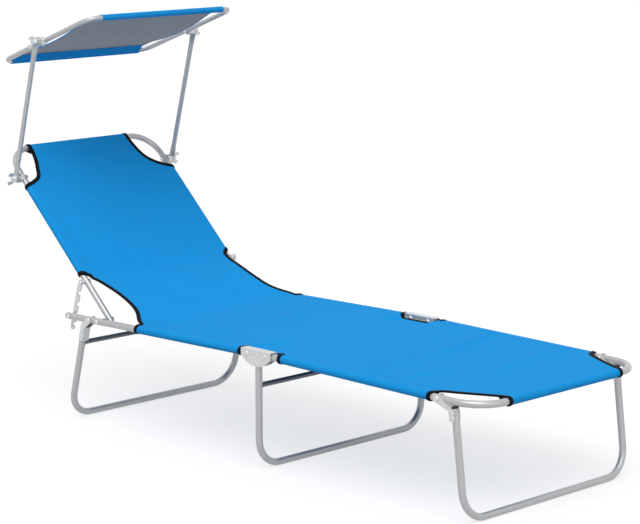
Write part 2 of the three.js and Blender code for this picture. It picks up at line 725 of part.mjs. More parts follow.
function canopyPieces() {
  const corners = [v(-canopyHalfWidth, -canopyFront, 0), v(canopyHalfWidth, -canopyFront, 0),
    v(canopyHalfWidth, canopyRear, 0), v(-canopyHalfWidth, canopyRear, 0)];
  const loop = tube(bentPath(corners, canopyCornerRadius, true), ALONG_Z, canopyRadius, 0, true);
  const far = canopyHalfWidth + overrun;
  place(canopy, 'canopy_tube', cut(loop, drill(boltBore, -far, far, 0, 0)), 'frame');
  for (const [name, side] of SIDES) {
    clampPieces(canopy, `upper_${name}`, side, canopyHalfWidth, canopyRadius, 0, armLength);
  }
  const edge = new THREE.Shape();
  edge.moveTo(-canopyHemHalfWidth, -canopyFront);
  edge.lineTo(canopyHemHalfWidth, -canopyFront);
  edge.quadraticCurveTo(canopyEdgeBulge, 0, canopyHemHalfWidth, canopyRear);
  edge.lineTo(-canopyHemHalfWidth, canopyRear);
  edge.quadraticCurveTo(-canopyEdgeBulge, 0, -canopyHemHalfWidth, -canopyFront);
  const sheet = prismZ(edge, clothOverCanopy, clothOverCanopy + clothThickness);
  const hems = [-canopyFront, canopyRear].map((y) => crossSleeve(clothOverCanopy, canopyHemHalfWidth, y));
  place(canopy, 'canopy_cloth', join(sheet, ...hems), 'canopyCloth');
}

// Cloth sewn round a tube: a sleeve along Y beside the sheet, or across X at its end
function sleeveRing(inner) {
  const ring = new THREE.Shape();
  ring.absarc(0, 0, inner + clothThickness, 0, 2 * Math.PI, false);
  const hole = new THREE.Path();
  hole.absarc(0, 0, inner, 0, 2 * Math.PI, true);
  ring.holes.push(hole);
  return ring;
}

function crossSleeve(inner, halfWidth, y) {
  return prismX(sleeveRing(inner), -halfWidth, halfWidth).translate(0, y, 0);
}

function sideSleeves(inner, halfWidth, from, to) {
  return SIDES.map(([, side]) => {
    const sleeve = prismZ(sleeveRing(inner), 0, to - from).rotateX(-Math.PI / 2);
    return sleeve.translate(side * halfWidth, from, 0);
  });
}

function flatSheet(halfWidth, from, to, under) {
  const plan = outline([[-halfWidth, from], [halfWidth, from], [halfWidth, to], [-halfWidth, to]]);
  return prismZ(plan, under, under + clothThickness);
}

// A cutter outside a curve from a side tube to a hem, on both sides of the cloth
function sideCutters(outer, curve) {
  return SIDES.map(([, side]) => {
    const points = side > 0 ? curve : [...curve].reverse();
    const first = points[0];
    const last = points[points.length - 1];
    const shape = outline([[side * outer, first[1]], ...points.map(([x, y]) => [side * x, y]),
      [side * outer, last[1]]].reverse());
    return prismZ(shape, -overrun, overrun);
  });
}

function smoothCurve(points) {
  const spline = new THREE.SplineCurve(points.map(([x, y]) => new THREE.Vector2(x, y)));
  return spline.getPoints(12).map((p) => [p.x, p.y]);
}

function seatCloth() {
  const far = frameHalfWidth + overrun;
  const start = clearance / 2;
  const sheet = flatSheet(frameHalfWidth, start, seatClothRear, clothOverFrame);
  const sleeves = sideSleeves(clothOverFrame, frameHalfWidth, start, seatClothRear);
  const notch = [[hingeClothHalfWidth, start - overrun], [hingeClothHalfWidth, seatClothNotchInner],
    [frameHalfWidth + frameRadius, seatClothNotchHalf], [far, seatClothNotchHalf]];
  place(seatFrame, 'seat_cloth', cut(join(sheet, ...sleeves), ...sideCutters(far, notch)), 'seatCloth');
}

function hingeCloth() {
  const reach = hingeHalfSpan - clearance / 2;
  const sheet = flatSheet(hingeClothHalfWidth, -reach, reach, clothOverFrame);
  place(centreLeg, 'hinge_cloth', sheet, 'seatCloth');
}

function footCloth() {
  const far = frameHalfWidth + overrun;
  const start = -clearance / 2;
  const sheet = flatSheet(frameHalfWidth, -footLength, start, clothOverFrame);
  const sleeves = sideSleeves(clothOverFrame, frameHalfWidth, -footClothSideEnd, start);
  const notch = [[far, -footClothNotchHalf], [frameHalfWidth + frameRadius, -footClothNotchHalf],
    [hingeClothHalfWidth, -footClothNotchInner], [hingeClothHalfWidth, start + overrun]];
  const cornerRun = footLength - footClothSideEnd;
  const edge = frameHalfWidth - footHemHalfWidth;
  const shares = [[0.82, 0], [0.48, 0.38], [0.25, 0.77], [0, 1.1]];
  const corner = smoothCurve(shares.map(([out, along]) => (
    [footHemHalfWidth + edge * out, -footClothSideEnd - cornerRun * along])));
  corner.unshift([far, -footClothSideEnd]);
  corner.push([footHemHalfWidth, -footLength - overrun]);
  const edges = [...sideCutters(far, notch), ...sideCutters(far, corner.reverse())];
  const hem = crossSleeve(clothOverFrame, footHemHalfWidth, -footLength);
  place(footFrame, 'foot_cloth', join(cut(join(sheet, ...sleeves), ...edges), hem), 'seatCloth');
}

// The free stretch of cloth that leaves the seat tubes and rises to the backrest tubes
function bridgeCloth() {
  const seatToBack = archAngle + backrestAngle;
  const lift = clothOverBack;
  const endY = backrestPivotDistance + bridgeTop * Math.cos(seatToBack) - lift * Math.sin(seatToBack);
  const endZ = bridgeTop * Math.sin(seatToBack) + lift * Math.cos(seatToBack);
  const rise = Math.atan2(endZ - clothOverFrame, endY - seatClothRear);
  const run = Math.hypot(endZ - clothOverFrame, endY - seatClothRear);
  const seatEdge = frameHalfWidth + frameRadius + clothThickness;
  const backEdge = backrestHalfWidth + backrestRadius + clothThickness;
  const from = clearance + clothThickness * Math.sin(rise);
  const to = run - clearance - clothThickness * Math.sin(seatToBack - rise);
  const plan = new THREE.Shape();
  plan.moveTo(-seatEdge, from);
  plan.lineTo(seatEdge, from);
  plan.bezierCurveTo(bridgeWidthNearSeat, bridgeReachNearSeat, bridgeWidthNearBack, bridgeReachNearBack,
    backEdge, to);
  plan.lineTo(-backEdge, to);
  plan.bezierCurveTo(-bridgeWidthNearBack, bridgeReachNearBack, -bridgeWidthNearSeat, bridgeReachNearSeat,
    -seatEdge, from);
  const carrier = body(seatFrame, seatClothRear, clothOverFrame, rise);
  place(carrier, 'bridge_cloth', prismZ(plan, 0, clothThickness), 'seatCloth');
}

function backrestCloth() {
  const far = backrestHalfWidth + overrun;
  const sheet = flatSheet(backrestHalfWidth, bridgeTop, backrestLength, clothOverBack);
  const sleeves = sideSleeves(clothOverBack, backrestHalfWidth, bridgeTop, backClothSideEnd);
  const cornerRun = backrestLength - backClothSideEnd;
  const edge = backrestHalfWidth - backHemHalfWidth;
  const shares = [[1.12, 0.04], [0.88, 0.2], [0.47, 0.33], [0.15, 0.62], [0, 0.95]];
  const corner = smoothCurve(shares.map(([out, along]) => (
    [backHemHalfWidth + edge * out, backClothSideEnd + cornerRun * along])));
  corner.unshift([far, backClothSideEnd]);
  corner.push([backHemHalfWidth, backrestLength + overrun]);
  const trimmed = cut(join(sheet, ...sleeves), ...sideCutters(far, corner));
  const cloth = join(trimmed, crossSleeve(clothOverBack, backHemHalfWidth, backrestLength));
  place(backrest, 'backrest_cloth', cloth, 'backCloth');
}

seatFramePieces();
centreLegPieces();
footFramePieces();
rearLegPieces();
frontLegPieces();
backrestPieces();
strutPieces();
armPieces();
canopyPieces();
seatCloth();
hingeCloth();
footCloth();
bridgeCloth();
backrestCloth();

// The origin goes to the floor under the middle
group.updateMatrixWorld(true);
const box = new THREE.Box3().setFromObject(group, true);
group.position.set(0, -box.getCenter(v(0, 0, 0)).y, -box.min.z);

export default group;
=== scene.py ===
"""Sun lounger with a tilting canopy: materials, fine shapes, cloth, light and camera.

Lengths are in millimetres until a mesh is made. +Z is up, the foot end points to -Y and the
origin lies on the floor under the middle. A body's own +Y runs along its tubes.
"""
import math

import bmesh
import bpy
import numpy as np
from mathutils import Matrix, Vector


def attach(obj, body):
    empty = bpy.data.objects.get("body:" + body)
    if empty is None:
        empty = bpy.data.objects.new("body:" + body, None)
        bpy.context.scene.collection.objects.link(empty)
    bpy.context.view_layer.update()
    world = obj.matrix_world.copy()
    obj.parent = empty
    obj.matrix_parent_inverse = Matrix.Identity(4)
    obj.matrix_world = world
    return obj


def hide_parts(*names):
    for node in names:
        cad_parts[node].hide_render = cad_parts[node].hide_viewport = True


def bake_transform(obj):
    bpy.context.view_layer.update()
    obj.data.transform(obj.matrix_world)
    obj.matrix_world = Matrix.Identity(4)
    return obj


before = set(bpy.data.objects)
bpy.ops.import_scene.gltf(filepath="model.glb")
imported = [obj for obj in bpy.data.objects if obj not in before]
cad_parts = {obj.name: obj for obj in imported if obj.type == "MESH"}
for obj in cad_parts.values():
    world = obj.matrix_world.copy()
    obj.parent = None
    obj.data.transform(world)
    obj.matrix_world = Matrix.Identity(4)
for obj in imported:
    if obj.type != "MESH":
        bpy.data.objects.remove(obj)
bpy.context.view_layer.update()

MM = 0.001
SIDES = (("left", -1), ("right", 1))

# Driving sizes of the frame, as in the part's source
clearance = 0.3
middle = 156.315
frame_radius = 8.5
frame_half = 281.5
hinge_height = 280
hinge_half_span = 30
arch = math.radians(0.86)
seat_length = 686
foot_length = 660
foot_corner_radius = 80
leg_bend_radius = 65
brace_radius = 6.2
cap_height = 4
cap_dome = 1.5
cheek_outer = frame_radius + clearance + 2
rear_pivot = 587
rear_splay = math.radians(14.6)
rear_offset = 19.5
rear_brace_height = 208
front_pivot = 540
front_splay = math.radians(7.03)
front_offset = 44
centre_leg_top = 5
centre_brace_height = 205
back_pivot = 555.6
back_angle = math.radians(43.7)
back_radius = 8
back_half = 245
back_length = 567
back_tail = 14
back_corner_radius = 70
stud_distance = 124.2
clamp_distance = 474.7
strut_plane = 266
strut_thickness = 3
strut_pin = 668
arm_plane = 269
arm_angle = math.radians(105.2)
arm_length = 373.4
canopy_tilt = math.radians(20.1)
canopy_radius = 6.5
canopy_half = 244
canopy_front = 196
canopy_rear = 185
canopy_corner_radius = 38
cloth = 1.2

# Turned parts
axis_radius = 0.01
groove_depth = 0.5
shank_radius = 3
head_radius = 6.5
head_height = 2.6
small_head_radius = 3.6
small_head_height = 1.3
spacer_radius = 6


def inside(parent, y, z, turn):
    """A body that hangs on its parent: the place of its origin and its turn about X."""
    py, pz, angle = parent
    c, s = math.cos(angle), math.sin(angle)
    return py + c * y - s * z, pz + s * y + c * z, angle + turn


GROUND = (-middle, 0.0, 0.0)
SEAT = inside(GROUND, hinge_half_span, hinge_height, -arch)
CENTRE = inside(GROUND, 0, hinge_height, 0)
FOOT = inside(GROUND, -hinge_half_span, hinge_height, arch)
BACK = inside(SEAT, back_pivot, 0, arch + back_angle)
ARMS = inside(BACK, clamp_distance, 0, arm_angle - back_angle)
CANOPY = inside(ARMS, arm_length, 0, -arm_angle - canopy_tilt)
BODIES = {"seat_frame": SEAT, "centre_leg": CENTRE, "foot_frame": FOOT, "backrest": BACK,
          "canopy_arms": ARMS, "canopy": CANOPY,
          "rear_leg": inside(SEAT, rear_pivot, 0, arch + rear_splay),
          "front_leg": inside(FOOT, -front_pivot, 0, -arch - front_splay)}


def to_world(body, points):
    """Points (x, y, z) of a body, in millimetres, as points of the frame, in metres."""
    y0, z0, angle = body
    c, s = math.cos(angle), math.sin(angle)
    x, y, z = np.moveaxis(np.asarray(points, float), -1, 0)
    return np.stack([x, y0 + c * y - s * z, z0 + s * y + c * z], -1) * MM


def side_view(body, places):
    """Places (y, z) of a body as places of the frame, both in millimetres."""
    return to_world(body, [(0, y, z) for y, z in places])[:, 1:] / MM


def placed(name, data):
    """A new object in the scene."""
    thing = bpy.data.objects.new(name, data)
    bpy.context.scene.collection.objects.link(thing)
    return thing


# Node materials
class Nodes:
    """A material's or a world's node tree, with short calls for adding and linking nodes."""

    def __init__(self, owner, output="ShaderNodeOutputMaterial", shader="ShaderNodeBsdfPrincipled"):
        owner.use_nodes = True
        self.owner, self.tree = owner, owner.node_tree
        self.tree.nodes.clear()
        self.output = self.add(output)
        self.shader = self.add(shader)
        self.link(self.shader.outputs[0], self.output.inputs["Surface"])

    def add(self, kind, **settings):
        node = self.tree.nodes.new(kind)
        for key, value in settings.items():
            if hasattr(node, key):
                setattr(node, key, value)
            else:
                node.inputs[key.replace("_", " ")].default_value = value
        return node

    def link(self, a, b):
        self.tree.links.new(a, b)

    def fed(self, kind, socket, source, result, **settings):
        """The result of a new node that takes the source in at the given socket."""
        node = self.add(kind, **settings)
        self.link(source, node.inputs[socket])
        return node.outputs[result]

    def coordinates(self, kind, scale=(1, 1, 1)):
        source = self.add("ShaderNodeTexCoord").outputs[kind]
        return self.fed("ShaderNodeMapping", "Vector", source, "Vector", Scale=scale)

    def noise(self, vector, scale, detail=3.0, roughness=0.5):
        return self.fed("ShaderNodeTexNoise", "Vector", vector, "Fac", Scale=scale, Detail=detail,
                        Roughness=roughness)

    def wave(self, vector, direction, scale, distortion):
        return self.fed("ShaderNodeTexWave", "Vector", vector, "Fac", bands_direction=direction,
                        wave_profile="SIN", Scale=scale, Distortion=distortion, Detail=1.0)

    def spread(self, value, low, high):
        return self.fed("ShaderNodeMapRange", "Value", value, "Result", To_Min=low, To_Max=high)

    def math(self, operation, a, b):
        node = self.add("ShaderNodeMath", operation=operation)
        for socket, value in zip(node.inputs, (a, b)):
            if isinstance(value, (int, float)):
                socket.default_value = value
            else:
                self.link(value, socket)
        return node.outputs["Value"]

    def weighted(self, *terms):
        """The sum of (value, share) terms."""
        value, share = terms[0]
        product = self.math("MULTIPLY", value, share)
        return self.math("ADD", product, self.weighted(*terms[1:])) if len(terms) > 1 else product

    def blend(self, factor, a, b):
        node = self.add("ShaderNodeMix", data_type="RGBA")
        colours = [socket for socket in node.inputs if socket.type == "RGBA"]
        colours[0].default_value = (*a, 1)
        colours[1].default_value = (*b, 1)
        self.link(factor, node.inputs["Factor"])
        return [socket for socket in node.outputs if socket.type == "RGBA"][0]

    def bump(self, height, strength, distance, before=None):
        node = self.add("ShaderNodeBump", Strength=strength, Distance=distance)
        self.link(height, node.inputs["Height"])
        if before is not None:
            self.link(before, node.inputs["Normal"])
        return node.outputs["Normal"]

    def seen(self):
        """1 for rays that come from the camera, straight, mirrored or through something clear."""
        path = self.add("ShaderNodeLightPath")
        bent = self.math("MAXIMUM", path.outputs["Is Glossy Ray"], path.outputs["Is Transmission Ray"])
        return self.math("MAXIMUM", path.outputs["Is Camera Ray"], bent)

    def set(self, **values):
        for key, value in values.items():
            socket = self.shader.inputs[key.replace("_", " ")]
            if isinstance(value, bpy.types.NodeSocket):
                self.link(value, socket)
            else:
                socket.default_value = (*value, 1) if isinstance(value, tuple) else value


def shade(colour, share):
    return tuple(min(1.0, part * share) for part in colour)


def metal(name, colour, metallic, roughness, grain, coat=0.0):
    """Coated or plated steel: cloudy colour, uneven gloss and a fine grain."""
    n = Nodes(bpy.data.materials.new(name))
    vector = n.coordinates("Object")
    cloud = n.noise(vector, 18, 4.0, 0.6)
    speckle = n.noise(vector, 1400, 2.0)
    scuff = n.noise(vector, 160, 5.0, 0.7)
    mixed = n.weighted((cloud, 0.7), (scuff, 0.3))
    n.set(Base_Color=n.blend(mixed, shade(colour, 0.9), shade(colour, 1.08)),
          Metallic=metallic,
          Roughness=n.spread(scuff, roughness - 0.07, roughness + 0.09),
          Coat_Weight=coat,
          Coat_Roughness=0.25,
          Normal=n.bump(speckle, grain, 0.00015))
    return n.owner


def plastic(name, colour):
    n = Nodes(bpy.data.materials.new(name))
    vector = n.coordinates("Object")
    n.set(Base_Color=n.blend(n.noise(vector, 90), shade(colour, 0.8), shade(colour, 1.5)),
          Roughness=n.spread(n.noise(vector, 300), 0.42, 0.6),
          Normal=n.bump(n.noise(vector, 2600), 0.3, 0.0001))
    return n.owner


def woven(name, colour, pitch, bump, sheen, roughness):
    """Plain weave that follows the cloth, whose two map directions are its warp and weft in metres."""
    n = Nodes(bpy.data.materials.new(name))
    vector = n.coordinates("UV")
    bands = 1 / (math.pi * pitch)
    threads = n.math("MAXIMUM", n.wave(vector, "X", bands, 0.15), n.wave(vector, "Y", bands, 0.15))
    cloud = n.noise(vector, 7, 3.0, 0.55)
    slub = n.noise(n.coordinates("UV", (60, 900, 1)), 1.0, 2.0)
    strain = n.noise(n.coordinates("UV", (2.2, 48, 1)), 1.0, 2.0)
    tone = n.weighted((threads, 0.35), (cloud, 0.35), (slub, 0.3))
    n.set(Base_Color=n.blend(tone, shade(colour, 0.86), shade(colour, 1.13)),
          Roughness=n.spread(slub, roughness - 0.05, roughness + 0.05),
          Sheen_Weight=sheen,
          Sheen_Roughness=0.45,
          Specular_IOR_Level=0.04,
          Normal=n.bump(threads, bump, 0.0003, n.bump(strain, 0.35, 0.006)))
    return n.owner


FRAME = metal("frame_coat", (0.485, 0.49, 0.495), 0.45, 0.32, 0.12, 0.2)
# Painted shade: the braces are the frame's own steel tube, given a dark colour that stands for the shade
# under the seat cloth
SHADED_BRACE = metal("brace_coat_painted_shade", (0.15, 0.16, 0.175), 0.5, 0.36, 0.12, 0.1)
PLATE = metal("zinc_sheet", (0.68, 0.69, 0.70), 0.5, 0.3, 0.2)
BRIGHT = metal("zinc_hardware", (0.70, 0.71, 0.72), 0.6, 0.28, 0.15)
CAP = plastic("cap_plastic", (0.016, 0.017, 0.019))
SLING = woven("sling_weave", (0.0105, 0.298, 0.715), 0.0009, 0.35, 0.02, 0.78)
THREAD = woven("thread", (0.012, 0.20, 0.55), 0.0004, 0.3, 0.03, 0.7)
TAPE = woven("edge_tape", (0.0062, 0.0085, 0.0135), 0.0008, 0.5, 0.03, 0.65)
TOP_CLOTH = woven("canopy_weave", (0.0125, 0.29, 0.69), 0.0008, 0.35, 0.02, 0.75)
SILVER = woven("canopy_lining", (0.40, 0.39, 0.375), 0.0008, 0.3, 0.03, 0.6)
SLOTS = {FRAME.name: "frame", SHADED_BRACE.name: "frame", PLATE.name: "bright", BRIGHT.name: "bright",
         CAP.name: "cap"}


# Meshes and pieces
def mesh_piece(name, parts, material, sharp=50):
    """A shown object from parts (points in metres, faces)."""
    points, faces = joined(parts)
    mesh = bpy.data.meshes.new(name)
    mesh.from_pydata(points.tolist(), [], faces)
    mesh.validate()
    tidy = bmesh.new()
    tidy.from_mesh(mesh)
    bmesh.ops.recalc_face_normals(tidy, faces=tidy.faces)
    tidy.to_mesh(mesh)
    tidy.free()
    mesh.shade_smooth()
    mesh.set_sharp_from_angle(angle=math.radians(sharp))
    mesh.materials.append(material)
    return placed(name, mesh)


def settle(piece, body, slot, *nodes):
    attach(piece, body)
    if nodes:
        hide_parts(*nodes)
    return piece


def skin(rings, closed=False, capped=True):
    """Faces over equal rings of points."""
    count = len(rings[0])
    spans = len(rings) if closed else len(rings) - 1
    faces = []
    for k in range(spans):
        here, there = k * count, (k + 1) % len(rings) * count
        for j in range(count):
            turn = (j + 1) % count
            faces.append((here + j, here + turn, there + turn, there + j))
    if not closed and capped:
        faces.append(tuple(range(count))[::-1])
        last = (len(rings) - 1) * count
        faces.append(tuple(range(last, last + count)))
    return faces


def joined(parts):
    """One list of points and faces out of several."""
    points, faces, shift = [], [], 0
    for part_points, part_faces in parts:
        part_points = np.asarray(part_points, float).reshape(-1, 3)
        points.append(part_points)
        faces += [tuple(shift + k for k in face) for face in part_faces]
        shift += len(part_points)
    return np.concatenate(points), faces


def bent_path(corners, radius, closed=False, steps=14):
    """Stations (point, direction) along straight runs joined by round bends."""
    corners = [np.asarray(c, float) for c in corners]
    stations = []
    for k, corner in enumerate(corners):
        into = corner - corners[k - 1]
        out = corners[(k + 1) % len(corners)] - corner
        into, out = into / np.linalg.norm(into), out / np.linalg.norm(out)
        if not closed and k == 0:
            stations.append((corner, out))
        elif not closed and k == len(corners) - 1:
            stations.append((corner, into))
        else:
            turn = math.acos(np.clip(into @ out, -1, 1))
            side = (out - into) / np.linalg.norm(out - into)
            centre = corner + side * radius / math.cos(turn / 2)
            normal = out - into * (into @ out)
            normal /= np.linalg.norm(normal)
            for step in range(steps + 1):
                angle = turn * step / steps
                point = centre + radius * (into * math.sin(angle) - normal * math.cos(angle))
                stations.append((point, into * math.cos(angle) + normal * math.sin(angle)))
    return stations


def tube(stations, normal, radius, sides=32, closed=False, dome=0.0):
    """Points and faces of a round tube, with domed ends of the given height."""
    normal = np.asarray(normal, float)
    angles = 2 * math.pi * np.arange(sides) / sides

    def ring(point, along, r):
        across = np.cross(along, normal)
        return point + r * (np.cos(angles)[:, None] * normal + np.sin(angles)[:, None] * across)

    rings = [ring(point, along, radius) for point, along in stations]
    if dome:
        (first, start), (last, end) = stations[0], stations[-1]
        for step in range(1, 8):
            angle = math.pi / 2 * step / 8
            reach, narrow = dome * math.sin(angle), radius * math.cos(angle)
            rings.insert(0, ring(first - start * reach, start, narrow))
            rings.append(ring(last + end * reach, end, narrow))
    return np.concatenate(rings), skin(rings, closed)


def turned(profile, sides=32):
    """A profile of (radius, x) turned about X, closed where the radius is zero."""
    angles = 2 * math.pi * np.arange(sides) / sides
    rings = [np.stack([np.full(sides, x), r * np.cos(angles), r * np.sin(angles)], -1) for r, x in profile]
    return np.concatenate(rings), skin(rings)


def moved(part, x=0.0, y=0.0, z=0.0):
    points, faces = part
    return np.asarray(points, float) + (x, y, z), faces


def sided(part, side):
    """A part drawn for the right side, mirrored for the left one (-1)."""
    points, faces = part
    return part if side > 0 else (np.asarray(points, float) * (-1, 1, 1), [face[::-1] for face in faces])


def put(name, parts, body, material, *nodes, sharp=50):
    """Parts in a body's own millimetres become one piece that rides on it."""
    in_frame = [(to_world(BODIES[body], points), faces) for points, faces in parts]
    return settle(mesh_piece(name, in_frame, material, sharp), body, SLOTS[material.name], *nodes)


# Steel tubes
ACROSS_Y = (0, 1, 0)
ACROSS_Z = (0, 0, 1)
bead_radius = 1.5
bead_ripple = 0.25
bead_ripples = 9
bead_depth = 0.4
bead_overlap = 0.3


def leg_tube(y, top, bar):
    corners = [(-frame_half, y, top), (-frame_half, y, bar), (frame_half, y, bar), (frame_half, y, top)]
    return tube(bent_path(corners, leg_bend_radius), ACROSS_Y, frame_radius)


def brace(y, z):
    """The brace runs into both legs and has a weld bead round each end."""
    ends = [(-frame_half, y, z), (frame_half, y, z)]
    around = 2 * math.pi * np.arange(8) / 8
    rings = []
    for angle in 2 * math.pi * np.arange(28) / 28:
        fat = bead_radius + bead_ripple * math.sin(bead_ripples * angle)
        reach = math.sqrt(frame_radius ** 2 - (brace_radius * math.cos(angle)) ** 2)
        out = (brace_radius + bead_overlap) * (1 + fat * np.sin(around) / brace_radius)
        rings.append(np.stack([frame_half - reach - bead_depth + fat * np.cos(around),
                               y + out * math.cos(angle), z + out * math.sin(angle)], -1))
    bead = (np.concatenate(rings), skin(rings, closed=True))
    return [tube(bent_path(ends, 0), ACROSS_Y, brace_radius), *[sided(bead, side) for _, side in SIDES]]


def cap_top(offset, lean):
    return ((offset + frame_radius) * math.sin(lean) + frame_radius + clearance) / math.cos(lean)


def leg_bar(pivot, offset, splay):
    height = hinge_height - pivot * math.sin(arch)
    return (frame_radius - height - offset * math.sin(splay)) / math.cos(splay)


def cap_shape(y, top):
    """A plug's head: a short skirt, a small groove and a domed crown."""
    low = top - cap_height
    crown = [(frame_radius * math.cos(a), top - cap_dome + cap_dome * math.sin(a))
             for a in np.linspace(0.25, math.pi / 2 - 0.02, 6)]
    groove = frame_radius - groove_depth
    profile = [(axis_radius, low), (frame_radius, low), (frame_radius, low + 0.9), (groove, low + 1.1),
               (groove, low + 1.5), (frame_radius, low + 1.7), *crown]
    points, faces = turned(profile)
    return np.stack([points[:, 1], points[:, 2] + y, points[:, 0]], -1), faces


def u_corners(half, start, end):
    """Corners of a flat U whose arms begin at start and whose bow lies at end."""
    return [(-half, start, 0), (-half, end, 0), (half, end, 0), (half, start, 0)]


seat_ends = [(0, 0, 0), (0, seat_length - frame_radius, 0)]
for word, side in SIDES:
    part = moved(tube(bent_path(seat_ends, 0), ACROSS_Z, frame_radius, dome=frame_radius), side * frame_half)
    put(f"seat_side_tube_{word}", [part], "seat_frame", FRAME, f"seat_tube_{word}")

foot_path = bent_path(u_corners(frame_half, 0, -foot_length), foot_corner_radius, steps=24)
foot_part = tube(foot_path, ACROSS_Z, frame_radius, dome=frame_radius)
put("foot_frame_tube", [foot_part], "foot_frame", FRAME, "foot_tube")

centre_part = leg_tube(0, -centre_leg_top, frame_radius - hinge_height)
put("centre_leg_bow", [centre_part], "centre_leg", FRAME, "centre_leg_tube")
put("centre_leg_brace", brace(0, centre_brace_height - hinge_height), "centre_leg", SHADED_BRACE, "centre_brace")

for stem, way, pivot, offset, splay in (("rear", 1, rear_pivot, rear_offset, rear_splay),
                                        ("front", -1, front_pivot, front_offset, front_splay)):
    top = -cap_top(offset, arch + splay)
    bow = leg_tube(way * offset, top - cap_height - clearance, leg_bar(pivot, offset, splay))
    put(f"{stem}_leg_bow", [bow], f"{stem}_leg", FRAME, f"{stem}_leg_tube")
    for word, side in SIDES:
        plug = moved(cap_shape(way * offset, top), side * frame_half)
        put(f"{stem}_leg_plug_{word}", [plug], f"{stem}_leg", CAP, f"{stem}_cap_{word}", sharp=35)

rear_brace_z = (leg_bar(rear_pivot, rear_offset, rear_splay)
                + (rear_brace_height - frame_radius) / math.cos(rear_splay))
put("rear_leg_brace", brace(rear_offset, rear_brace_z), "rear_leg", SHADED_BRACE, "rear_brace")

back_corners = u_corners(back_half, back_radius - back_tail, back_length)
back_path = bent_path(back_corners, back_corner_radius, steps=24)
back_part = tube(back_path, ACROSS_Z, back_radius, dome=back_radius)
put("backrest_bow", [back_part], "backrest", FRAME, "backrest_tube")

loop_path = bent_path(u_corners(canopy_half, canopy_rear, -canopy_front), canopy_corner_radius, True, 18)
loop_part = tube(loop_path, ACROSS_Z, canopy_radius, closed=True)
put("canopy_loop", [loop_part], "canopy", FRAME, "canopy_tube")


# Arms, flattened at both ends
arm_radius = 6.5
flat_half_width = 10
flat_half_thickness = 1.7
flat_length = 20
taper_length = 26


def arm_ring(y, mix, half_width):
    """The section goes from a flat, rounded strip to the round tube."""
    thick = flat_half_thickness + (arm_radius - flat_half_thickness) * mix
    wide = half_width + (arm_radius - half_width) * mix
    power = 0.35 + 0.65 * mix
    angles = 2 * math.pi * (np.arange(32) + 0.5) / 32
    c, s = np.cos(angles), np.sin(angles)
    x = thick * np.sign(c) * np.abs(c) ** power
    z = wide * np.sign(s) * np.abs(s) ** (0.75 * power + 0.25)
    return np.stack([arm_plane + x, np.full(32, float(y)), -z], -1)


arm_stations = []
for degrees in (88, 75, 60, 45, 30, 15, 0):
    angle = math.radians(degrees)
    arm_stations.append((-flat_half_width * math.sin(angle), 0, flat_half_width * math.cos(angle)))
for share in np.linspace(0, 1, 12):
    mix = share * share * (3 - 2 * share)
    arm_stations.append((flat_length + taper_length * share, mix, flat_half_width))
near_rings = [arm_ring(*station) for station in arm_stations]
far_rings = [arm_ring(arm_length - y, mix, half) for y, mix, half in arm_stations][::-1]
arm_rings = near_rings + far_rings
arm_part = (np.concatenate(arm_rings), skin(arm_rings))
for word, side in SIDES:
    put(f"canopy_arm_{word}", [sided(arm_part, side)], "canopy_arms", FRAME, f"arm_{word}")


# Rivets, bolts and wing nuts
def domed(radius, height, base, away, steps=7):
    """A low dome from its rim to its top."""
    turns = np.linspace(0, math.pi / 2 - 0.03, steps)
    return [(radius * math.cos(a), base + away * height * math.sin(a)) for a in turns]


def rivet(inner, outer, collar=()):
    tail_end = domed(head_radius, head_height, inner, -1)[::-1]
    return turned([*tail_end, (shank_radius, inner), *collar, (shank_radius, outer),
                   *domed(head_radius, head_height, outer, 1)])


def collar(end):
    """A spacer round the shank, from the backrest tube to the given place."""
    return [(shank_radius, spacer_from), (spacer_radius, spacer_from), (spacer_radius, end),
            (shank_radius, end)]


pin_radius = 4
outer_face = frame_half + frame_radius + clearance
inner_face = back_half - back_radius - clearance
spacer_from = back_half + back_radius + clearance
strut_gap = strut_thickness / 2 + clearance
bracket_reach = cheek_outer + clearance
pin_tip = strut_plane + strut_thickness / 2 + 0.5
bracket_rivet = rivet(frame_half - bracket_reach, frame_half + bracket_reach)
pivot_rivet = rivet(inner_face, outer_face, collar(frame_half - frame_radius - clearance))
stud = rivet(inner_face, strut_plane + strut_gap, collar(strut_plane - strut_gap))
pin = turned([(axis_radius, pin_tip), (3.4, pin_tip), (pin_radius, pin_tip + 0.6), (pin_radius, outer_face),
              *domed(head_radius, head_height, outer_face, 1)])
RIVETS = (("leg_rivet", bracket_rivet, rear_pivot, "seat_frame", "rear_leg_rivet"),
          ("backrest_rivet", pivot_rivet, back_pivot, "seat_frame", "backrest_pivot"),
          ("seat_pin", pin, strut_pin, "seat_frame", "strut_pin"),
          ("foot_leg_rivet", bracket_rivet, -front_pivot, "foot_frame", "front_leg_rivet"),
          ("hinge_seat_rivet", bracket_rivet, hinge_half_span, "centre_leg", "hinge_rivet_seat"),
          ("hinge_foot_rivet", bracket_rivet, -hinge_half_span, "centre_leg", "hinge_rivet_foot"),
          ("strut_rivet", stud, stud_distance, "backrest", "strut_stud"))
for word, side in SIDES:
    for stem, part, y, body, node in RIVETS:
        put(f"{stem}_{word}", [moved(sided(part, side), y=y)], body, BRIGHT, f"{node}_{word}", sharp=40)


def small_rivet(y, z, side, face):
    """The head of a bracket's small rivet, on the cheek's outer (1) or inner (-1) face."""
    base = frame_half + face * cheek_outer
    crown = domed(small_head_radius, small_head_height, base, face, 5)
    part = turned([(small_head_radius, base - face * 0.2), *crown])
    return moved(sided(part, side), y=y, z=z)


for word, side in SIDES:
    for stem, y, heights, body in (("rear", rear_offset, (-33, -52), "rear_leg"),
                                   ("front", -front_offset, (-31, -41), "front_leg"),
                                   ("hinge", 0, (-17,), "centre_leg")):
        heads = [small_rivet(y, z, side, face) for z in heights for face in (-1, 1)]
        put(f"{stem}_bracket_rivets_{word}", heads, body, BRIGHT, sharp=40)


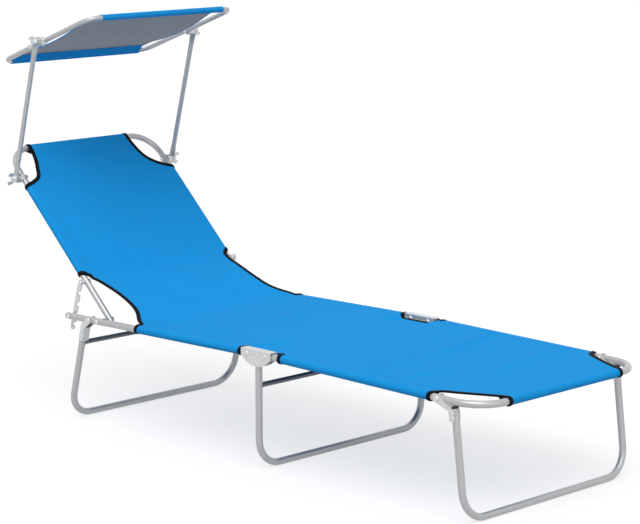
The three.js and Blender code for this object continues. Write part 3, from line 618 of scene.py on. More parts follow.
def bead(line, radius, side, closed=False):
    """A bead pressed out along (y, z) places of a cheek's outer face."""
    line = np.asarray(line, float)
    face = frame_half + cheek_outer
    step = np.roll(line, -1, 0) - np.roll(line, 1, 0) if closed else np.gradient(line, axis=0)
    across = np.stack([-step[:, 1], step[:, 0]], -1) / np.linalg.norm(step, axis=1)[:, None]
    turns = np.linspace(0, 2 * math.pi, 13)[:-1]
    rings = []
    for (y, z), (ay, az) in zip(line, across):
        end = min(math.dist((y, z), line[0]), math.dist((y, z), line[-1]))
        size = radius if closed else radius * math.sqrt(max(0.04, 1 - max(0.0, 1 - end / radius) ** 2))
        rings.append(np.stack([face + 0.7 * size * np.cos(turns), y + ay * size * np.sin(turns),
                               z + az * size * np.sin(turns)], -1))
    return sided((np.concatenate(rings), skin(rings, closed)), side)


rib_ends = np.linspace(39.6, 41, 5)
rib = [(y, 8.9) for y in (*-rib_ends[::-1], *np.linspace(-36, 36, 13), *rib_ends)]
boss = [(6 * math.cos(a), -2 + 6 * math.sin(a)) for a in np.linspace(0, 2 * math.pi, 33)[:-1]]
for word, side in SIDES:
    pressings = [bead(rib, 1.4, side), bead(boss, 1.1, side, True)]
    put(f"hinge_bracket_pressings_{word}", pressings, "centre_leg", PLATE, sharp=40)

bolt_radius = 3
thread_pitch = 0.5
thread_depth = 0.45
thread_start = arm_plane + flat_half_thickness + clearance
bolt_end = thread_start + 11


def bolt_shape(tube_plane, tube_radius):
    """A hexagon head with a chamfered crown, and a threaded end."""
    face = tube_plane - tube_radius - clearance
    head = turned([(axis_radius, face - 4.5), (4.8, face - 4.5), (6.5, face - 3.7), (6.5, face)], 6)
    profile = [(bolt_radius, face - 1), (bolt_radius, thread_start)]
    for x in np.arange(thread_start, bolt_end - 1.6, thread_pitch):
        profile += [(bolt_radius - thread_depth, x + thread_pitch / 2), (bolt_radius, x + thread_pitch)]
    profile += [(bolt_radius - 0.6, bolt_end), (axis_radius, bolt_end)]
    return [head, turned(profile, 20)]


clamps = (("lower", back_half, back_radius, 0), ("upper", canopy_half, canopy_radius, arm_length))
for word, side in SIDES:
    for level, plane, radius, y in clamps:
        parts = [moved(sided(part, side), y=y) for part in bolt_shape(plane, radius)]
        put(f"clamp_bolt_{level}_{word}", parts, "canopy_arms", BRIGHT, f"bolt_{level}_{word}", sharp=30)


def modify(piece, kind, **settings):
    modifier = piece.modifiers.new(kind.lower(), kind)
    for key, value in settings.items():
        setattr(modifier, key, value)


def apply_modifiers(piece):
    """The piece's mesh as its modifiers make it."""
    bpy.context.view_layer.update()
    graph = bpy.context.evaluated_depsgraph_get()
    made = bpy.data.meshes.new_from_object(piece.evaluated_get(graph))
    piece.modifiers.clear()
    piece.data = made


def cast_copy(node, name, material):
    """A cast part: the CAD shape with its edges rounded off."""
    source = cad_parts[node]
    piece = placed(name, source.data.copy())
    piece.matrix_world = source.matrix_world.copy()
    for key in [key for key in piece.keys() if key.startswith("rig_")]:
        del piece[key]
    modify(piece, "WELD", merge_threshold=1e-6)
    modify(piece, "REMESH", mode="VOXEL", voxel_size=0.0005)
    modify(piece, "SMOOTH", iterations=5, factor=0.5)
    apply_modifiers(piece)
    piece.data.shade_smooth()
    piece.data.materials.clear()
    piece.data.materials.append(material)
    return piece


for level in ("lower", "upper"):
    for word, side in SIDES:
        nut = cast_copy(f"wing_nut_{level}_{word}", f"wing_nut_cast_{level}_{word}", BRIGHT)
        settle(nut, f"nut_{level}_{word}", "bright", f"wing_nut_{level}_{word}")


# Steel that keeps its CAD shape
def dressed(node, material, width, segments=2):
    """A CAD node with its own material and its hard edges broken."""
    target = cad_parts[node]
    for material_slot in target.material_slots:
        material_slot.material = material
    modify(target, "WELD", merge_threshold=1e-6)
    modify(target, "BEVEL", width=width, segments=segments, limit_method="ANGLE",
           angle_limit=math.radians(28))


for word, _ in SIDES:
    for stem in ("hinge_bracket", "rear_bracket", "front_bracket"):
        dressed(f"{stem}_{word}", PLATE, 0.0005)
    dressed(f"strut_{word}", PLATE, 0.0004)
    for level in ("lower", "upper"):
        dressed(f"disc_{level}_{word}", BRIGHT, 0.0002, 1)
        dressed(f"saddle_{level}_{word}", BRIGHT, 0.0002, 1)


# Cloth
seat_level = frame_radius + clearance + cloth / 2
back_level = back_radius + clearance + cloth / 2
canopy_level = canopy_radius + clearance + cloth / 2
wrap = math.radians(215)
lap_length = 9.0
lap_gap = 0.15
lean_reach = 45
tape_width = 11.0
tape_half_thickness = 2.2
tape_overhang = 1.2
stitch_pitch = 5.0
stitch_length = 3.4
thread_radius = 0.45


def flap(roll):
    """The cloth's lengths past the tube's middle: round the tube, back up to the sheet, and along it."""
    return roll * wrap, (roll * (1 - math.cos(wrap)) - cloth - lap_gap) / -math.sin(wrap), lap_length


def lengths_along(line):
    """How far along a line each of its points lies."""
    return np.concatenate([[0], np.cumsum(np.linalg.norm(np.diff(line, axis=0), axis=1))])


def ramp(s, low, high):
    t = np.clip((s - low) / (high - low), 0, 1)
    return t * t * (3 - 2 * t)


class Sheet:
    """A sheet that follows a side-view path and wraps round two side tubes.

    The pattern's s runs along the path and its u runs across from the middle line. Past half the
    cloth rolls round a side tube, comes back under it and lies against the sheet's underside. Upper
    is -1 where the path runs towards -Y.
    """

    def __init__(self, path, half, roll, sag, upper=1):
        self.path = np.concatenate(path)
        self.s = lengths_along(self.path)
        tangent = np.gradient(self.path, self.s, axis=0)
        tangent /= np.linalg.norm(tangent, axis=1)[:, None]
        self.up = upper * np.stack([-tangent[:, 1], tangent[:, 0]], -1)
        self.half, self.roll, self.sag = half, roll, sag
        self.creases = []
        self.shift = 0.0

    def limit(self, s):
        return self.value(self.half, s) + sum(flap(self.value(self.roll, s)))

    @staticmethod
    def value(thing, s):
        return thing(s) if callable(thing) else thing

    def at(self, s, u, lift=0.0):
        """Points in metres and normals at pattern places, lifted off the middle of the cloth."""
        s, u = np.broadcast_arrays(np.asarray(s, float), np.asarray(u, float))
        u = u + self.value(self.shift, s)
        y, z, ny, nz = [np.interp(s, self.s, line) for line in (*self.path.T, *self.up.T)]
        size = np.hypot(ny, nz)
        ny, nz = ny / size, nz / size
        half, roll = self.value(self.half, s), self.value(self.roll, s)
        a, sign = np.abs(u), np.where(u < 0, -1.0, 1.0)
        round_length, rise, _ = flap(roll)
        turn = np.clip((a - half) / roll, 0, wrap)
        back = np.clip(a - half - round_length, 0, rise)
        lap = np.clip(a - half - round_length - rise, 0, None)
        nx, nd = np.sin(turn), -np.cos(turn)
        off = lift + sum((crease(s, u, half) for crease in self.creases), np.zeros_like(turn))
        x = np.minimum(a, half) + roll * np.sin(turn) + back * math.cos(wrap) - lap + off * nx
        down = roll * (1 - np.cos(turn)) + back * math.sin(wrap) + off * nd
        down = down + self.value(self.sag, s) * np.clip(1 - (a / half) ** 2, 0, 1)
        points = np.stack([sign * x, y - down * ny, z - down * nz], -1) * MM
        return points, np.stack([sign * nx, -nd * ny, -nd * nz], -1)


def outward(sheet, s, line, u):
    """0 at the sleeve's inner line, 1 from the tube's side on."""
    side = sheet.value(sheet.half, s) + 1.2 * sheet.value(sheet.roll, s)
    return np.clip((np.abs(u) - line) / (side - line), 0, 1)


def grid_faces(rows, columns, start):
    corners = [start + i * columns + j for i in range(rows - 1) for j in range(columns - 1)]
    return [(a, a + 1, a + columns + 1, a + columns) for a in corners]


def cloth_piece(name, sheet, rows, edge, sleeves, material, lining=None, thickness=cloth):
    """The sheet as a thin solid: rows are its s values, edge gives u at each, and each sleeve is a
    stretch (from, to) of s with its inner line, where the cloth also goes round the side tubes, and
    how far its two ends draw back on the tube's outer side."""
    points, maps, faces = [], [], []
    core, columns = 150.0, 34

    def patch(s_grid, u_grid):
        faces.extend(grid_faces(*u_grid.shape, sum(len(part) for part in points)))
        points.append(sheet.at(s_grid, u_grid)[0].reshape(-1, 3))
        maps.append(np.stack([u_grid, s_grid], -1).reshape(-1, 2) * MM)

    shares = np.linspace(0, 1, 15)[1:]
    limits = np.array([edge(s) for s in rows])
    right = core + shares[None, :] * (limits[:, None] - core)
    inner = np.repeat(np.linspace(-core, core, columns)[None, :], len(rows), 0)
    across = np.concatenate([-right[:, ::-1], inner, right], 1)
    patch(np.repeat(rows[:, None], across.shape[1], 1), across)
    for start, end, line, lean_start, lean_end in sleeves:
        mine = rows[(rows >= start - 1e-6) & (rows <= end + 1e-6)]
        half = sheet.value(sheet.half, mine[0])
        round_length, rise, lap = flap(sheet.value(sheet.roll, mine[0]))
        marks = np.concatenate([np.linspace(line, half, 4)[:-1], half + np.linspace(0, round_length, 24)[:-1],
                                half + round_length + np.linspace(0, rise, 5)[:-1],
                                half + round_length + rise + np.linspace(0, lap, 3)])
        slant = outward(sheet, mine[0], line, marks)[None, :]
        near_start = np.clip(1 - (mine - start) / lean_reach, 0, 1)[:, None]
        near_end = np.clip(1 - (end - mine) / lean_reach, 0, 1)[:, None]
        s_grid = mine[:, None] + slant * (lean_start * near_start - lean_end * near_end)
        for sign in (-1, 1):
            patch(s_grid, np.repeat(sign * marks[None, :], len(mine), 0))
    mesh = bpy.data.meshes.new(name)
    mesh.from_pydata(np.concatenate(points).tolist(), [], faces)
    corners = np.zeros(len(mesh.loops), int)
    mesh.loops.foreach_get("vertex_index", corners)
    mesh.uv_layers.new(name="pattern").data.foreach_set("uv", np.concatenate(maps)[corners].ravel())
    work = bmesh.new()
    work.from_mesh(mesh)
    bmesh.ops.remove_doubles(work, verts=work.verts, dist=2e-6)
    bmesh.ops.recalc_face_normals(work, faces=work.faces)
    probe, upward = sheet.at(float(rows[len(rows) // 2]), 0.0)
    middle_face = min(work.faces, key=lambda f: (f.calc_center_median() - Vector(probe)).length)
    if middle_face.normal.dot(Vector(upward)) < 0:
        bmesh.ops.reverse_faces(work, faces=work.faces)
    work.to_mesh(mesh)
    work.free()
    for layer in (material, lining):
        if layer is not None:
            mesh.materials.append(layer)
    piece = placed(name, mesh)
    modify(piece, "SOLIDIFY", thickness=thickness * MM, offset=0, use_even_offset=False,
           material_offset=len(mesh.materials) - 1)
    apply_modifiers(piece)
    piece.data.shade_smooth()
    piece.data.set_sharp_from_angle(angle=math.radians(50))
    return piece


def tape(sheet, line, inward, width, half_thickness):
    """Edge tape along pattern places (s, u). Inward points from the edge into the cloth, in the pattern."""
    points, normals = sheet.at(*line.T)
    into = sheet.at(*(line + inward * 0.2).T)[0] - points
    into /= np.linalg.norm(into, axis=1)[:, None]
    normals = normals - into * np.sum(normals * into, 1)[:, None]
    normals /= np.linalg.norm(normals, axis=1)[:, None]
    angles = np.linspace(0, 2 * math.pi, 17)[:-1, None]
    c, s = np.cos(angles), np.sin(angles)
    across = width / 2 * np.sign(c) * np.abs(c) ** 0.6 + width / 2 - tape_overhang
    raised = half_thickness * np.sign(s) * np.abs(s) ** 0.6
    rings = points[:, None] + (into[:, None] * across + normals[:, None] * raised) * MM
    return rings.reshape(-1, 3), skin(rings)


def inward_of(line, turn):
    """Pattern directions square to the line, to its left (1) or its right (-1)."""
    step = np.gradient(line, axis=0)
    step /= np.linalg.norm(step, axis=1)[:, None]
    return np.stack([-step[:, 1], step[:, 0]], -1) * turn


def stitches(sheet, line, lift):
    """Sewing stitches along pattern places, each a small spindle of thread."""
    way = lengths_along(line)
    marks = np.arange(stitch_pitch / 2, way[-1], stitch_pitch)
    ends = []
    for shift in (-stitch_length / 2, stitch_length / 2):
        ends.append(sheet.at(*[np.interp(marks + shift, way, places) for places in line.T], lift))
    (a, normal), (b, _) = ends
    side = np.cross(b - a, normal)
    side *= thread_radius * MM / np.linalg.norm(side, axis=1)[:, None]
    normal = normal * thread_radius * MM
    mid = (a + b) / 2
    points = np.stack([a, b, mid + side, mid + normal, mid - side, mid - normal], 1).reshape(-1, 3)
    faces = []
    for base in range(0, len(points), 6):
        for j in range(4):
            n, m = base + 2 + j, base + 2 + (j + 1) % 4
            faces += [(base, n, m), (base + 1, m, n)]
    return points, faces


def smooth_line(points, count=40):
    """A Catmull-Rom curve through pattern places."""
    p = np.asarray(points, float)
    p = np.concatenate([[2 * p[0] - p[1]], p, [2 * p[-1] - p[-2]]])
    out = []
    for k in range(1, len(p) - 2):
        for t in np.linspace(0, 1, count, endpoint=k == len(p) - 3):
            a, b, c, d = p[k - 1], p[k], p[k + 1], p[k + 2]
            out.append(0.5 * (2 * b + (c - a) * t + (2 * a - 5 * b + 4 * c - d) * t * t
                              + (3 * b - a - 3 * c + d) * t ** 3))
    return np.array(out)


tape_stop = 16
tape_step = 1.4


def resampled(line, spacing):
    line = np.asarray(line, float)
    way = lengths_along(line)
    marks = np.linspace(0, way[-1], max(2, int(way[-1] / spacing) + 1))
    return np.stack([np.interp(marks, way, places) for places in line.T], -1)


def joint_loop(*runs, passes=16):
    """The runs as one line with even steps, its corners rounded off and its ends kept."""
    line = resampled(np.concatenate(runs), 2)
    for _ in range(passes):
        line[1:-1] = (line[:-2] + 2 * line[1:-1] + line[2:]) / 4
    return line


def from_place(s, *places):
    """Pattern places whose s is counted from the given one."""
    return [(s + along, u) for along, u in places]


def edge_of(*stretches):
    """The edge's u for an s, from stretches in order, each with its last s and its u or curve."""
    def edge(s):
        line = next(line for last, line in stretches if s <= last)
        return float(np.interp(s, line[:, 0], line[:, 1])) if isinstance(line, np.ndarray) else line
    return edge


def round_hem(body, y, radius, towards):
    """Side-view path that goes from the sheet's top round an end tube and back under the sheet."""
    turns = np.linspace(0, wrap, 28)[1:]
    arc = np.stack([y + towards * radius * np.sin(turns), radius * np.cos(turns)], -1)
    _, rise, lap = flap(radius)
    away = np.array([towards * rise * math.cos(wrap), -rise * math.sin(wrap)])
    back = arc[-1] + np.array([[0.25], [0.5], [0.75], [1.0]]) * away
    return side_view(body, [*arc, *back, back[-1] - (towards * lap, 0)])


def straight(body, y_from, y_to, level, spacing=7.0):
    count = max(2, int(abs(y_to - y_from) / spacing) + 1)
    return side_view(body, [(y, level) for y in np.linspace(y_from, y_to, count)])


def s_of(sheet, body, y, level):
    """The pattern's s at a place on a straight run."""
    return float(sheet.s[np.argmin(np.linalg.norm(sheet.path - side_view(body, [(y, level)]), axis=1))])


def rows_for(sheet, lines, stops, spacing):
    """s values: the sheet's own, the edge curves' and the given stops."""
    wanted = list(np.arange(0, sheet.s[-1], spacing)) + list(sheet.s)
    for line in lines:
        wanted += list(line[::4, 0])
    kept = []
    fixed = sorted({*stops, 0.0, float(sheet.s[-1])})
    for value in sorted(set(np.round(wanted, 3))):
        near = min(abs(value - stop) for stop in fixed)
        if near > 0.6 and (not kept or value - kept[-1] > 0.9):
            kept.append(value)
    return np.array(sorted(kept + fixed))


def crease_set(count, s_from, s_to, height, seed, leans):
    """Faint ridges across the tight cloth, strongest towards one side and clear of the side tubes."""
    local = np.random.default_rng(seed)
    made = []
    for _ in range(count):
        where = local.uniform(s_from, s_to)
        lean = local.uniform(*leans)
        width = local.uniform(5, 9)
        tall = height * local.uniform(0.35, 1.0)
        side = local.choice([-1, 1])
        reach = local.uniform(250, 520)

        def crease(s, u, half, where=where, lean=lean, width=width, tall=tall, side=side, reach=reach):
            along = (s - where - lean * u) / width
            from_edge = np.clip(half - side * u, 0, None) / reach
            inside_tubes = (1 - ramp(np.abs(u), half - 42, half - 14)) * ramp(s, 2, 34)
            return tall * inside_tubes * np.exp(0.4 - np.sqrt(along ** 2 + 0.16) - from_edge ** 2)

        made.append(crease)
    return made


def round_tube(sheet, s, line, lean=0.0):
    """Pattern places from the flap's end round a side tube to the sleeve's inner line."""
    us = np.arange(sheet.limit(s) - tape_stop, line, -tape_step)
    return np.stack([s + lean * outward(sheet, s, line, us), us], -1)


def hem_run(sheet, s_from, u):
    """Pattern places round an end tube to the hem's end."""
    marks = np.arange(s_from, sheet.s[-1] - tape_stop, tape_step)
    return np.stack([marks, np.full(len(marks), float(u))], -1)


def tape_piece(name, sheet, lines, turn, material=TAPE, width=tape_width, half_thickness=tape_half_thickness):
    """Edge tape along each line and along its mirror image."""
    parts = []
    for line in lines:
        for side in (1, -1):
            one = line * (1, side)
            parts.append(tape(sheet, one, inward_of(one, turn * side), width, half_thickness))
    return mesh_piece(name, parts, material, 60)


def stitch_piece(name, sheet, lines, lifts=(cloth / 2 + lap_gap,)):
    parts = [stitches(sheet, resampled(line, 2), lift) for line in lines for lift in lifts]
    return mesh_piece(name, parts, THREAD, 80)


def seams(s_from, s_to, u):
    """The seams beside the two side tubes."""
    return [[(s_from, side * u), (s_to, side * u)] for side in (1, -1)]


def cross_seam(s, half):
    return [(s, -half), (s, half)]


def place(body, y, level):
    return tuple(float(part) for part in to_world(body, [(0, y, level)])[0])


def bend(piece, near, start, end):
    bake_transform(piece)
    return piece


# The seat, the bridge and the backrest are one sheet
split = 40.0
seat_run_end = 400.0
seat_side_end = 410.0
back_side_start = 128.0
bridge_pull = 35
bend_margin = 4
sling_sag = 3.5
back_hem = 169.5
sleeve_line_seat = frame_half - 14
sleeve_line_back = back_half - 13
sleeve_lean = 7.0
seat_lean = 4.0
corner_lean = 18.0
seam_inset = 27
seam_margin = 9
hem_inset = 38
row_spacing = 3.0
top_cut = 114
hem_seam_half = 168.0


def bridge_path():
    """Side view of the free cloth between the seat tubes and the backrest's tubes."""
    start = side_view(SEAT, [(seat_run_end, seat_level)])[0]
    end = side_view(BACK, [(back_side_start, back_level)])[0]
    leave, arrive = [bridge_pull * np.array([math.cos(body[2]), math.sin(body[2])]) for body in (SEAT, BACK)]
    t = np.linspace(0, 1, 44)[1:-1, None]
    return ((2 * t ** 3 - 3 * t * t + 1) * start + (t ** 3 - 2 * t * t + t) * leave
            + (3 * t * t - 2 * t ** 3) * end + (t ** 3 - t * t) * arrive)


def narrowing(at_seat, at_back):
    """A measure that goes from the seat's value to the backrest's along the bridge."""
    return lambda s: at_seat + (at_back - at_seat) * ramp(s, seat_end + 40, seat_end + 190)


seat_end = seat_side_end - split
main = Sheet([straight(SEAT, split, seat_run_end, seat_level), bridge_path(),
              straight(BACK, back_side_start, back_length, back_level),
              round_hem(BACK, back_length, back_level, 1)],
             narrowing(frame_half, back_half), narrowing(seat_level, back_level), 0.0)
back_start = s_of(main, BACK, back_side_start, back_level)
back_end = s_of(main, BACK, back_length, back_level)
back_side_end = back_end - top_cut


def bridge_lift(s, u, half):
    """Between the two frames the tight cloth stands higher in the middle than at the tubes."""
    share = np.clip((s - seat_end - 25) / (back_start - seat_end + 5), 0, 1)
    return 6.5 * np.sin(math.pi * share) ** 1.3 * (1 - ramp(np.abs(u), 242, 262))


main.sag = lambda s: sling_sag * (1 - ramp(s, back_end - 130, back_end - 6))
main.shift = lambda s: -9.0 * ramp(s, back_side_end, back_side_end + 45)
main.creases = [*crease_set(15, 30, seat_end, 4.2, 5, (0.0, 0.17)),
                *crease_set(10, seat_end + 40, back_end, 0.5, 8, (-0.12, 0.12)), bridge_lift]
bridge_line = smooth_line(from_place(seat_end, (0, sleeve_line_seat), (9, 266), (18, 262), (27, 256.5),
                                     (39, 248), (56, 237.5), (80, 229.5), (110, 226), (145, 225))
                          + from_place(back_start, (-77, 226), (-48, 227.5), (-27, 229), (-13, 232),
                                       (-4, 238), (0, sleeve_line_back)))
top_line = smooth_line(from_place(back_side_end, (0, sleeve_line_back), (3.5, 226), (9, 213), (17, 203),
                                  (29, 193), (48, 183), (69, 176))
                       + from_place(back_end, (-20, 171), (3, back_hem)))
main_edge = edge_of((seat_end, sleeve_line_seat), (back_start, bridge_line),
                    (back_side_end, sleeve_line_back), (math.inf, top_line))
main_rows = rows_for(main, [bridge_line, top_line], [seat_end, back_start, back_side_end], row_spacing)
sling = cloth_piece("sling_seat_and_back", main, main_rows, main_edge,
                    [(0, seat_end, sleeve_line_seat, 0, seat_lean),
                     (back_start, back_side_end, sleeve_line_back, corner_lean, sleeve_lean)], SLING)
bridge_loop = joint_loop(round_tube(main, seat_end - 0.5, sleeve_line_seat, -seat_lean),
                         resampled(bridge_line, 3),
                         round_tube(main, back_start + 0.5, sleeve_line_back, corner_lean)[::-1])
top_loop = joint_loop(round_tube(main, back_side_end - 0.5, sleeve_line_back, -sleeve_lean),
                      resampled(top_line, 3), hem_run(main, back_end + 4, back_hem))
main_tape = tape_piece("edge_tape_seat_and_back", main, [bridge_loop, top_loop], -1)
main_seams = (seams(2, seat_end - seam_margin, frame_half - seam_inset)
              + seams(back_start + seam_margin, back_side_end - seam_margin, back_half - seam_inset))
main_stitches = stitch_piece("sling_stitches", main, main_seams)
hem_seam = cross_seam(back_end - hem_inset, hem_seam_half)
hem_stitches = stitch_piece("backrest_hem_stitches", main, [hem_seam])
for piece in (sling, main_tape, main_stitches, hem_stitches):
    bend(piece, "seat_frame", place(SEAT, seat_side_end + bend_margin, seat_level),
         place(BACK, back_side_start - bend_margin, back_level))
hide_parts("seat_cloth", "bridge_cloth", "backrest_cloth")
main_width = 2 * main.limit(0.0) * MM


# The foot sheet, with its hem round the foot end
foot_end = foot_length - split
foot_sleeve_from = 46
foot_sleeve_to = 526
foot_side_end = foot_sleeve_to - split
foot_notch = foot_sleeve_from - split
foot_hem = 196
foot_run = foot_end - foot_side_end
notch_lean = 4.0
notch_join = 276.0
foot = Sheet([straight(FOOT, -split, -foot_length, seat_level),
              round_hem(FOOT, -foot_length, seat_level, -1)],
             frame_half, seat_level, lambda s: sling_sag * (1 - ramp(s, foot_end - 130, foot_end - 6)), -1)
foot.creases = crease_set(18, 30, foot_end - 110, 4.6, 21, (-0.17, 0.0))
foot_line = smooth_line(from_place(foot_side_end, (0, sleeve_line_seat), (5, sleeve_line_seat - 7),
                                   (foot_run * 0.16, 251), (foot_run * 0.4, 234), (foot_run * 0.7, 214))
                        + from_place(foot_end, (-8, foot_hem + 3), (2, foot_hem), (5, foot_hem)))
foot_edge = edge_of((foot_notch, np.array([(0, notch_join), (foot_notch, sleeve_line_seat)])),
                    (foot_side_end, sleeve_line_seat), (math.inf, foot_line))
foot_rows = rows_for(foot, [foot_line], [foot_notch, foot_side_end], row_spacing)
foot_cloth = cloth_piece("sling_foot", foot, foot_rows, foot_edge,
                         [(foot_notch, foot_side_end, sleeve_line_seat, notch_lean, sleeve_lean)], SLING)
settle(foot_cloth, "foot_frame", "seat_cloth", "foot_cloth")

foot_loop = joint_loop(round_tube(foot, foot_side_end - 0.5, sleeve_line_seat, -sleeve_lean),
                       resampled(foot_line, 3), hem_run(foot, foot_end + 6, foot_hem))
foot_ring = joint_loop([(0.0, notch_join), (foot_notch * 0.6, sleeve_line_seat - 0.8)],
                       round_tube(foot, foot_notch + 0.5, sleeve_line_seat, notch_lean)[::-1], passes=3)
foot_seams = seams(foot_notch + seam_margin, foot_side_end - seam_margin, frame_half - seam_inset)
foot_hem_seam = cross_seam(foot_end - hem_inset, foot_hem)
foot_trim = [tape_piece("edge_tape_foot", foot, [foot_loop], -1),
             tape_piece("edge_tape_foot_start", foot, [foot_ring], 1),
             stitch_piece("foot_stitches", foot, foot_seams),
             stitch_piece("foot_hem_stitches", foot, [foot_hem_seam])]
for piece in foot_trim:
    settle(piece, "foot_frame", "seat_cloth")
2 * foot.limit(0.0) * MM


# The cloth over the hinge, in two halves, from the middle of the hinge to the seat and to the foot
notch_width = 254.0
notch_drop = 9.0
hinge_spacing = 2.5
pivot_margin = 9
seat_notch = 28.0


def notch_dip(rise_from, rise_to):
    """The free edges of the notches hang a little, so the cloth falls towards them."""
    def dip(s, u, half):
        inside_edge = np.clip(notch_width - 14 - np.abs(u), 0, None)
        reach = 34 + 56 * (1 - ramp(s, rise_from - 18, rise_to))
        return -notch_drop * (1 - ramp(s, rise_from, rise_to)) * np.exp(-(inside_edge / reach) ** 2)
    return dip


def hinge_sheet(body, towards, rise_from, rise_to):
    """From the middle of the hinge to the seat (1) or the foot (-1)."""
    sheet = Sheet([straight(CENTRE, 0, towards * hinge_half_span, seat_level, hinge_spacing),
                   straight(body, towards * 1.5, towards * split, seat_level, hinge_spacing)],
                  frame_half, seat_level, sling_sag, towards)
    sheet.creases = [notch_dip(rise_from, rise_to)]
    return sheet


def notch_line(start, end):
    """The notch's edge from the middle of the hinge out to where it meets the side."""
    return smooth_line([(0, notch_width), (start - 22, notch_width), (start - 12, notch_width + 2),
                        (start - 4, notch_width + (end - notch_width) * 0.5), (start, end)])


seat_half = hinge_sheet(SEAT, 1, 40, 57)
seat_half_length = seat_half.s[-1]
sleeve_start = seat_half_length - (split - seat_notch)
seat_notch_line = notch_line(sleeve_start, sleeve_line_seat)
hinge_rows = rows_for(seat_half, [seat_notch_line], [sleeve_start], 4.0)
seat_hinge = cloth_piece("sling_hinge_seat_side", seat_half, hinge_rows,
                         edge_of((sleeve_start, seat_notch_line), (math.inf, sleeve_line_seat)),
                         [(sleeve_start, seat_half_length, sleeve_line_seat, notch_lean, 0)], SLING)
seat_loop = joint_loop(resampled(seat_notch_line, 2)[:-1],
                       round_tube(seat_half, sleeve_start + 0.5, sleeve_line_seat, notch_lean)[::-1])
seat_tape = tape_piece("edge_tape_hinge_seat_side", seat_half, [seat_loop], 1)

foot_half = hinge_sheet(FOOT, -1, 48, 68)
foot_notch_line = notch_line(foot_half.s[-1], notch_join)
foot_hinge = cloth_piece("sling_hinge_foot_side", foot_half, rows_for(foot_half, [foot_notch_line], [], 4.0),
                         edge_of((math.inf, foot_notch_line)), [], SLING)
foot_tape = tape_piece("edge_tape_hinge_foot_side", foot_half, [joint_loop(foot_notch_line)], 1)

for pieces, body, carrier, towards in (((seat_hinge, seat_tape), SEAT, "seat_frame", 1),
                                       ((foot_hinge, foot_tape), FOOT, "foot_frame", -1)):
    for piece in pieces:
        bend(piece, carrier, place(body, towards * pivot_margin, seat_level),
             place(CENTRE, towards * (hinge_half_span - pivot_margin), seat_level))
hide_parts("hinge_cloth")


# Canopy cloth
hem_half = 204.0
rear_hem_half = 217.0
canopy_flap = 42.0
edge_bulge = 11.0
canopy_sag = 11.0
canopy_seam = 36
canopy_seam_half = 200.0
canopy_thickness = 0.9
canopy_lift = canopy_thickness / 2 + lap_gap
no_side_tubes = 600.0
shade_sheet = Sheet([round_hem(CANOPY, -canopy_front, canopy_level, -1)[::-1],
                     straight(CANOPY, -canopy_front, canopy_rear, canopy_level, 6),
                     round_hem(CANOPY, canopy_rear, canopy_level, 1)], no_side_tubes, 10.0, 0.0)
front_s = s_of(shade_sheet, CANOPY, -canopy_front, canopy_level)
rear_s = s_of(shade_sheet, CANOPY, canopy_rear, canopy_level)


def canopy_edge(s):
    share = np.clip((s - front_s) / (rear_s - front_s), 0, 1)
    hem = hem_half + (rear_hem_half - hem_half) * ramp(share, 0.6, 1)
    return hem + edge_bulge * 4 * share * (1 - share)


def free_wave(s):
    """0 at the two hems' flaps, 1 in the middle of the cloth between them."""
    share = (s - front_s - canopy_flap) / (rear_s - front_s - 2 * canopy_flap)
    return np.sin(math.pi * np.clip(share, 0, 1))


def canopy_dip(s, u, half):
    """The sheet sags a little between its two hems, up to its side edges."""
    return -canopy_sag * free_wave(s) ** 1.3


def canopy_fold(place_share, lean, width, height):
    """A soft fold, slanted across the sheet."""
    def fold(s, u, half):
        line = (s - front_s) - (rear_s - front_s) * (place_share + lean * u / 200)
        return height * np.exp(-(line / width) ** 2) * free_wave(s)
    return fold


shade_sheet.creases = [canopy_dip, canopy_fold(0.36, 0.42, 9, 3.4), canopy_fold(0.58, 0.36, 12, 3.0)]
canopy_cloth = cloth_piece("canopy_sheet", shade_sheet, rows_for(shade_sheet, [], [front_s, rear_s], 6.0),
                           canopy_edge, [], TOP_CLOTH, SILVER, canopy_thickness)
settle(canopy_cloth, "canopy", "canopy_cloth", "canopy_cloth")
rim = np.array([(s, canopy_edge(s)) for s in np.arange(front_s + 1, rear_s - 1, 4)])
canopy_seams = [cross_seam(s, canopy_seam_half) for s in (front_s + canopy_seam, rear_s - canopy_seam)]
canopy_trim = [tape_piece("canopy_side_binding", shade_sheet, [rim], 1, TOP_CLOTH, 5.0, 1.1),
               stitch_piece("canopy_stitches", shade_sheet, canopy_seams, (canopy_lift, -canopy_lift))]
for piece in canopy_trim:
    settle(piece, "canopy", "canopy_cloth")


# Floor, light and camera
def floor_material():
    """Pale floor that shows white to the camera and keeps the object's shadow."""
    n = Nodes(bpy.data.materials.new("floor"))
    seen = n.seen()
    n.set(Base_Color=n.blend(seen, (0.5, 0.5, 0.5), (0.34, 0.34, 0.34)), Roughness=0.9,
          Specular_IOR_Level=0.0)
    glow = n.add("ShaderNodeEmission", Color=(1, 1, 1, 1))
    n.link(n.math("MULTIPLY", seen, 0.7), glow.inputs["Strength"])
    add = n.add("ShaderNodeAddShader")
    n.link(n.shader.outputs["BSDF"], add.inputs[0])
    n.link(glow.outputs["Emission"], add.inputs[1])
    n.link(add.outputs["Shader"], n.output.inputs["Surface"])
    return n.owner


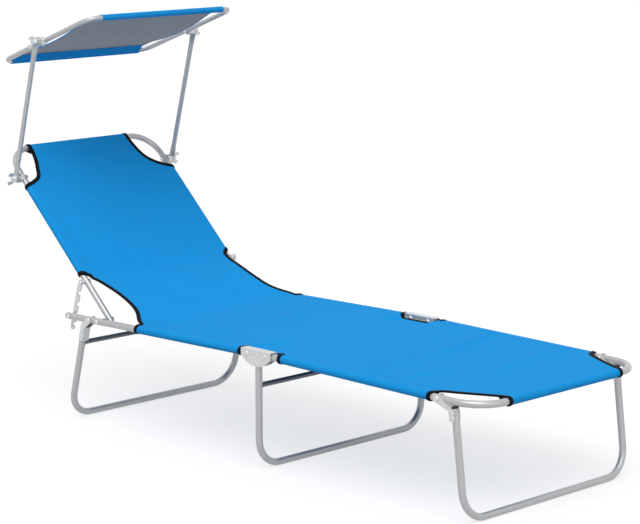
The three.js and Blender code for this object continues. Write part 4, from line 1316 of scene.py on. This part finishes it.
def studio():
    """A grey to white sky that lights the object, and plain white where it is seen."""
    n = Nodes(bpy.data.worlds.new("studio"), "ShaderNodeOutputWorld", "ShaderNodeBackground")
    up = n.fed("ShaderNodeSeparateXYZ", 0, n.add("ShaderNodeTexCoord").outputs["Generated"], "Z")
    sky = n.add("ShaderNodeValToRGB")
    n.link(n.fed("ShaderNodeMapRange", "Value", up, "Result", From_Min=-1), sky.inputs["Fac"])
    stops = sky.color_ramp.elements
    stops[0].position, stops[0].color = 0.48, (0.36, 0.37, 0.38, 1)
    stops[1].position, stops[1].color = 0.8, (0.98, 0.98, 1.0, 1)
    stops.new(0.6).color = (0.62, 0.63, 0.65, 1)
    n.set(Color=sky.outputs["Color"], Strength=0.62)
    pick = n.add("ShaderNodeMixShader")
    n.link(n.seen(), pick.inputs["Fac"])
    n.link(n.shader.outputs[0], pick.inputs[1])
    n.link(n.add("ShaderNodeBackground", Color=(1, 1, 1, 1)).outputs[0], pick.inputs[2])
    n.link(pick.outputs[0], n.output.inputs["Surface"])
    return n.owner


floor_mesh = bpy.data.meshes.new("floor")
floor_half = 30.0
floor_corners = [(x * floor_half, y * floor_half, 0) for x, y in ((-1, -1), (1, -1), (1, 1), (-1, 1))]
floor_mesh.from_pydata(floor_corners, [], [(0, 1, 2, 3)])
floor_mesh.materials.append(floor_material())
floor = placed("floor", floor_mesh)
floor.location.z = -0.0003
bpy.context.scene.world = studio()


def sun(name, azimuth, elevation, strength, spread):
    """A soft lamp whose light comes from the given azimuth, where 0 is the -Y side and 90 the -X side."""
    data = bpy.data.lights.new(name, "SUN")
    data.energy = strength
    data.angle = math.radians(spread)
    a, e = math.radians(azimuth), math.radians(elevation)
    back = Vector((-math.sin(a) * math.cos(e), -math.cos(a) * math.cos(e), math.sin(e)))
    placed(name, data).rotation_euler = back.to_track_quat("Z", "Y").to_euler()


sun("key", 62, 58, 1.47, 50)
sun("fill", 20, 25, 0.45, 70)


def camera(azimuth, elevation, roll, position, focal_pixels, frame_width=640):
    """The photograph's camera, fitted to the frame's points."""
    a, e = math.radians(azimuth), math.radians(elevation)
    forward = Vector((-math.sin(a) * math.cos(e), math.cos(a) * math.cos(e), -math.sin(e)))
    right = Vector((math.cos(a), math.sin(a), 0))
    turn = Matrix.Rotation(math.radians(roll), 3, forward)
    data = bpy.data.cameras.new("camera")
    data.sensor_width = 36
    data.sensor_fit = "HORIZONTAL"
    data.lens = data.sensor_width * focal_pixels / frame_width
    data.clip_end = 100
    eye = placed("camera", data)
    eye.matrix_world = Matrix((turn @ right, turn @ right.cross(forward), -forward)).transposed().to_4x4()
    eye.location = Vector(position) * MM
    bpy.context.scene.camera = eye


camera(315.087, 10.339, 0.079, (-3931.9, -4021.4, 1468.7), 2323.6)
bpy.context.scene.view_settings.view_transform = "Standard"
